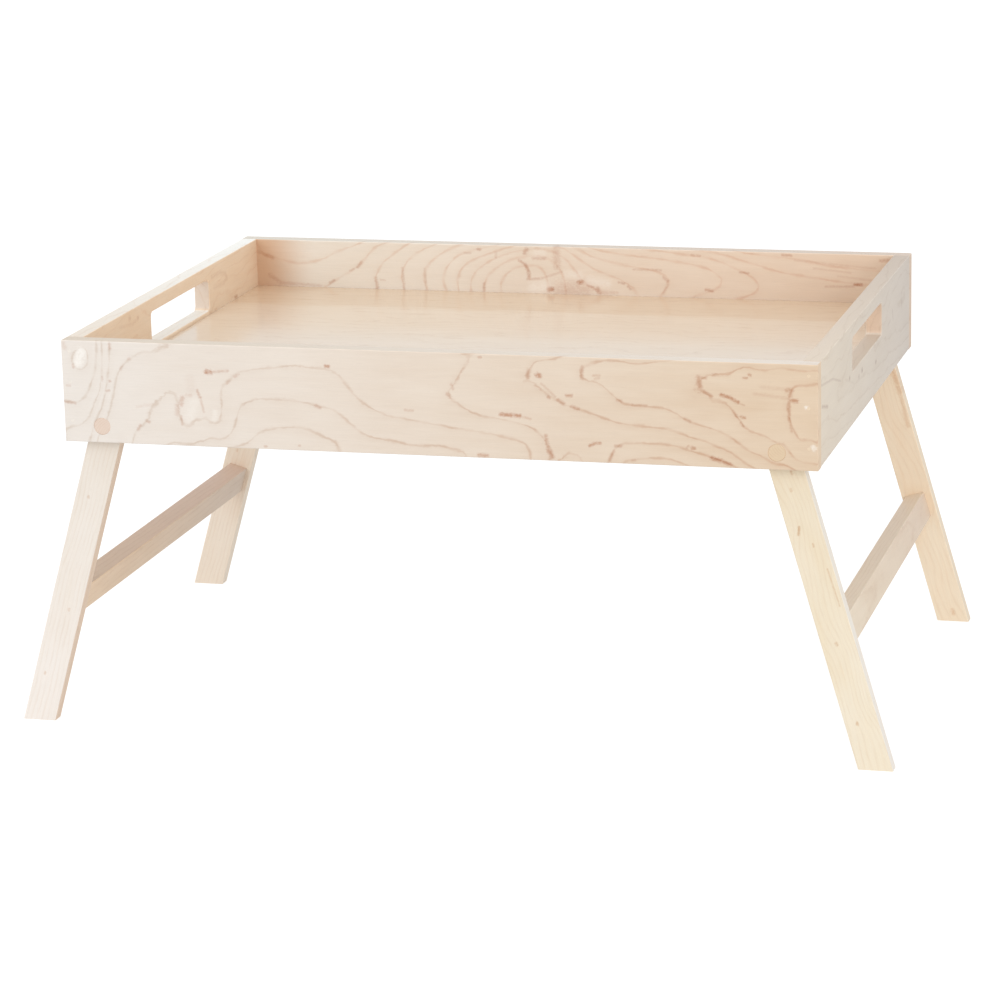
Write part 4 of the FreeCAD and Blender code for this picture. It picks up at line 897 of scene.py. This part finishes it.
def drawn_steel():
    """Bright wire for the brads: fine draw lines round the wire, a little duller in patches. The heads are
    stopped with wood filler: near the board's face the filler's grain takes over, matched to the board,
    paler at the left."""
    filler_depth = 1.6
    material, b = new_material("brad steel")
    place = board_place(b, (0, 1, 0), (0, 0, 1), (0.0, 0.0, 0.0))[0]
    lines = b.noise(b.vec("MULTIPLY", place, (0.6, 6.0, 6.0)), 1, 2)
    patches = b.noise(b.scaled(place, 0.8), 1, 3)
    shader = b.lay("ShaderNodeBsdfPrincipled")
    y, _, x = b.parts(place)
    filled = b.calc("GREATER_THAN", b.calc("ABSOLUTE", y), -1000 * tray_front - filler_depth)
    right = b.ease(x, -200.0, 200.0)
    dull = b.mix(right, tone(234, 226, 216), tone(224, 202, 174))
    light = b.mix(right, tone(244, 238, 230), tone(240, 220, 194))
    filler = b.mix(b.noise(b.scaled(place, 3.0), 1, 2), dull, light)
    wire = b.mix(patches, tone(150, 148, 146), tone(198, 196, 193))
    b.feed(shader.inputs["Metallic"], b.calc("SUBTRACT", 1.0, filled))
    b.feed(shader.inputs["Base Color"], b.mix(filled, wire, filler))
    bright = b.calc("MULTIPLY_ADD", patches, 0.3, b.calc("MULTIPLY_ADD", lines, 0.12, 0.18))
    b.feed(shader.inputs["Roughness"], b.mixed_value(filled, bright, 0.75))
    relief = b.lay("ShaderNodeBump")
    relief.inputs["Strength"].default_value = 0.2
    relief.inputs["Distance"].default_value = 0.00005
    b.feed(relief.inputs["Height"], lines)
    b.feed(shader.inputs["Normal"], relief.outputs[0])
    b.feed(b.lay("ShaderNodeOutputMaterial").inputs["Surface"], shader.outputs[0])
    return material


steel = drawn_steel()
for corner in leg_tones_and_light:
    dress(corner + "_pivot_dowel", dowel_wood[corner.split("_")[1]])
    dress(corner + "_stretcher_pegs", peg_wood)
    dress(corner + "_corner_brads", steel)


# ------------------------------------------------------------------ studio

def lay_floor():
    """A plain white sweep under the tray, lit through from below like a product table, so that shadows stay
    faint."""
    mesh = bpy.data.meshes.new("studio floor")
    reach = 14.0
    corners = [(-reach, -reach, 0), (reach, -reach, 0), (reach, reach, 0), (-reach, reach, 0)]
    mesh.from_pydata(corners, [], [(0, 1, 2, 3)])
    floor = bpy.data.objects.new("studio_floor", mesh)
    bpy.context.scene.collection.objects.link(floor)
    material, b = new_material("white floor")
    shader = b.lay("ShaderNodeBsdfPrincipled")
    shader.inputs["Base Color"].default_value = (0.35, 0.35, 0.35, 1)
    shader.inputs["Roughness"].default_value = 0.9
    shader.inputs["Specular IOR Level"].default_value = 0.0
    shader.inputs["Emission Color"].default_value = (1, 1, 1, 1)
    seen = b.lay("ShaderNodeLightPath").outputs["Is Camera Ray"]
    b.feed(shader.inputs["Emission Strength"], b.mixed_value(seen, 0.42, 0.8))
    b.feed(b.lay("ShaderNodeOutputMaterial").inputs["Surface"], shader.outputs[0])
    mesh.materials.append(material)


def hang_light(name, place, aim, width, height, power, colour):
    """A soft box: a flat lamp of the given size at a place, turned to face its aim."""
    lamp = bpy.data.lights.new(name, "AREA")
    lamp.shape, lamp.size, lamp.size_y, lamp.energy, lamp.color = "RECTANGLE", width, height, power, colour
    thing = bpy.data.objects.new(name, lamp)
    thing.location = place
    thing.rotation_euler = (Vector(aim) - Vector(place)).to_track_quat("-Z", "Y").to_euler()
    bpy.context.scene.collection.objects.link(thing)


def light_room():
    """Even, slightly cool light from all round, and three warmer soft boxes."""
    world = bpy.data.worlds.new("studio air")
    bpy.context.scene.world = world
    world.use_nodes = True
    background = world.node_tree.nodes["Background"]
    background.inputs["Color"].default_value = (0.965, 0.985, 1.0, 1)
    background.inputs["Strength"].default_value = 0.86
    hang_light("front_left_softbox", (-1.5, -2.3, 1.3), (0, 0, 0.2), 1.6, 1.2, 12, (1.0, 0.98, 0.96))
    hang_light("front_right_softbox", (1.7, -2.1, 0.9), (0.1, 0, 0.15), 1.5, 1.1, 13, (1.0, 0.98, 0.96))
    hang_light("overhead_softbox", (-0.3, 0.2, 2.2), (0, 0, 0.2), 1.8, 1.4, 4, (1.0, 0.99, 0.97))


def set_camera():
    """The photograph's view: a long lens a little above the tray, to the right of its middle, turned and
    rolled as fitted."""
    yaw, pitch, roll = (math.radians(a) for a in (15.233, -14.359, -1.367))
    ahead = Vector((-math.sin(yaw) * math.cos(pitch), math.cos(yaw) * math.cos(pitch), math.sin(pitch)))
    side = Vector((math.cos(yaw), math.sin(yaw), 0))
    up = side.cross(ahead)
    right = side * math.cos(roll) + up * math.sin(roll)
    top = up * math.cos(roll) - side * math.sin(roll)
    lens = bpy.data.cameras.new("camera")
    lens.sensor_fit, lens.sensor_width, lens.lens = "HORIZONTAL", 36.0, 133.677
    lens.clip_start, lens.clip_end = 0.05, 100
    camera = bpy.data.objects.new("camera", lens)
    camera.rotation_euler = Matrix((right, top, -ahead)).transposed().to_euler()
    camera.location = (0.72555, -2.69365, 0.84923)
    bpy.context.scene.collection.objects.link(camera)
    bpy.context.scene.camera = camera


lay_floor()
light_room()
set_camera()
bpy.context.scene.view_settings.view_transform = "Standard"
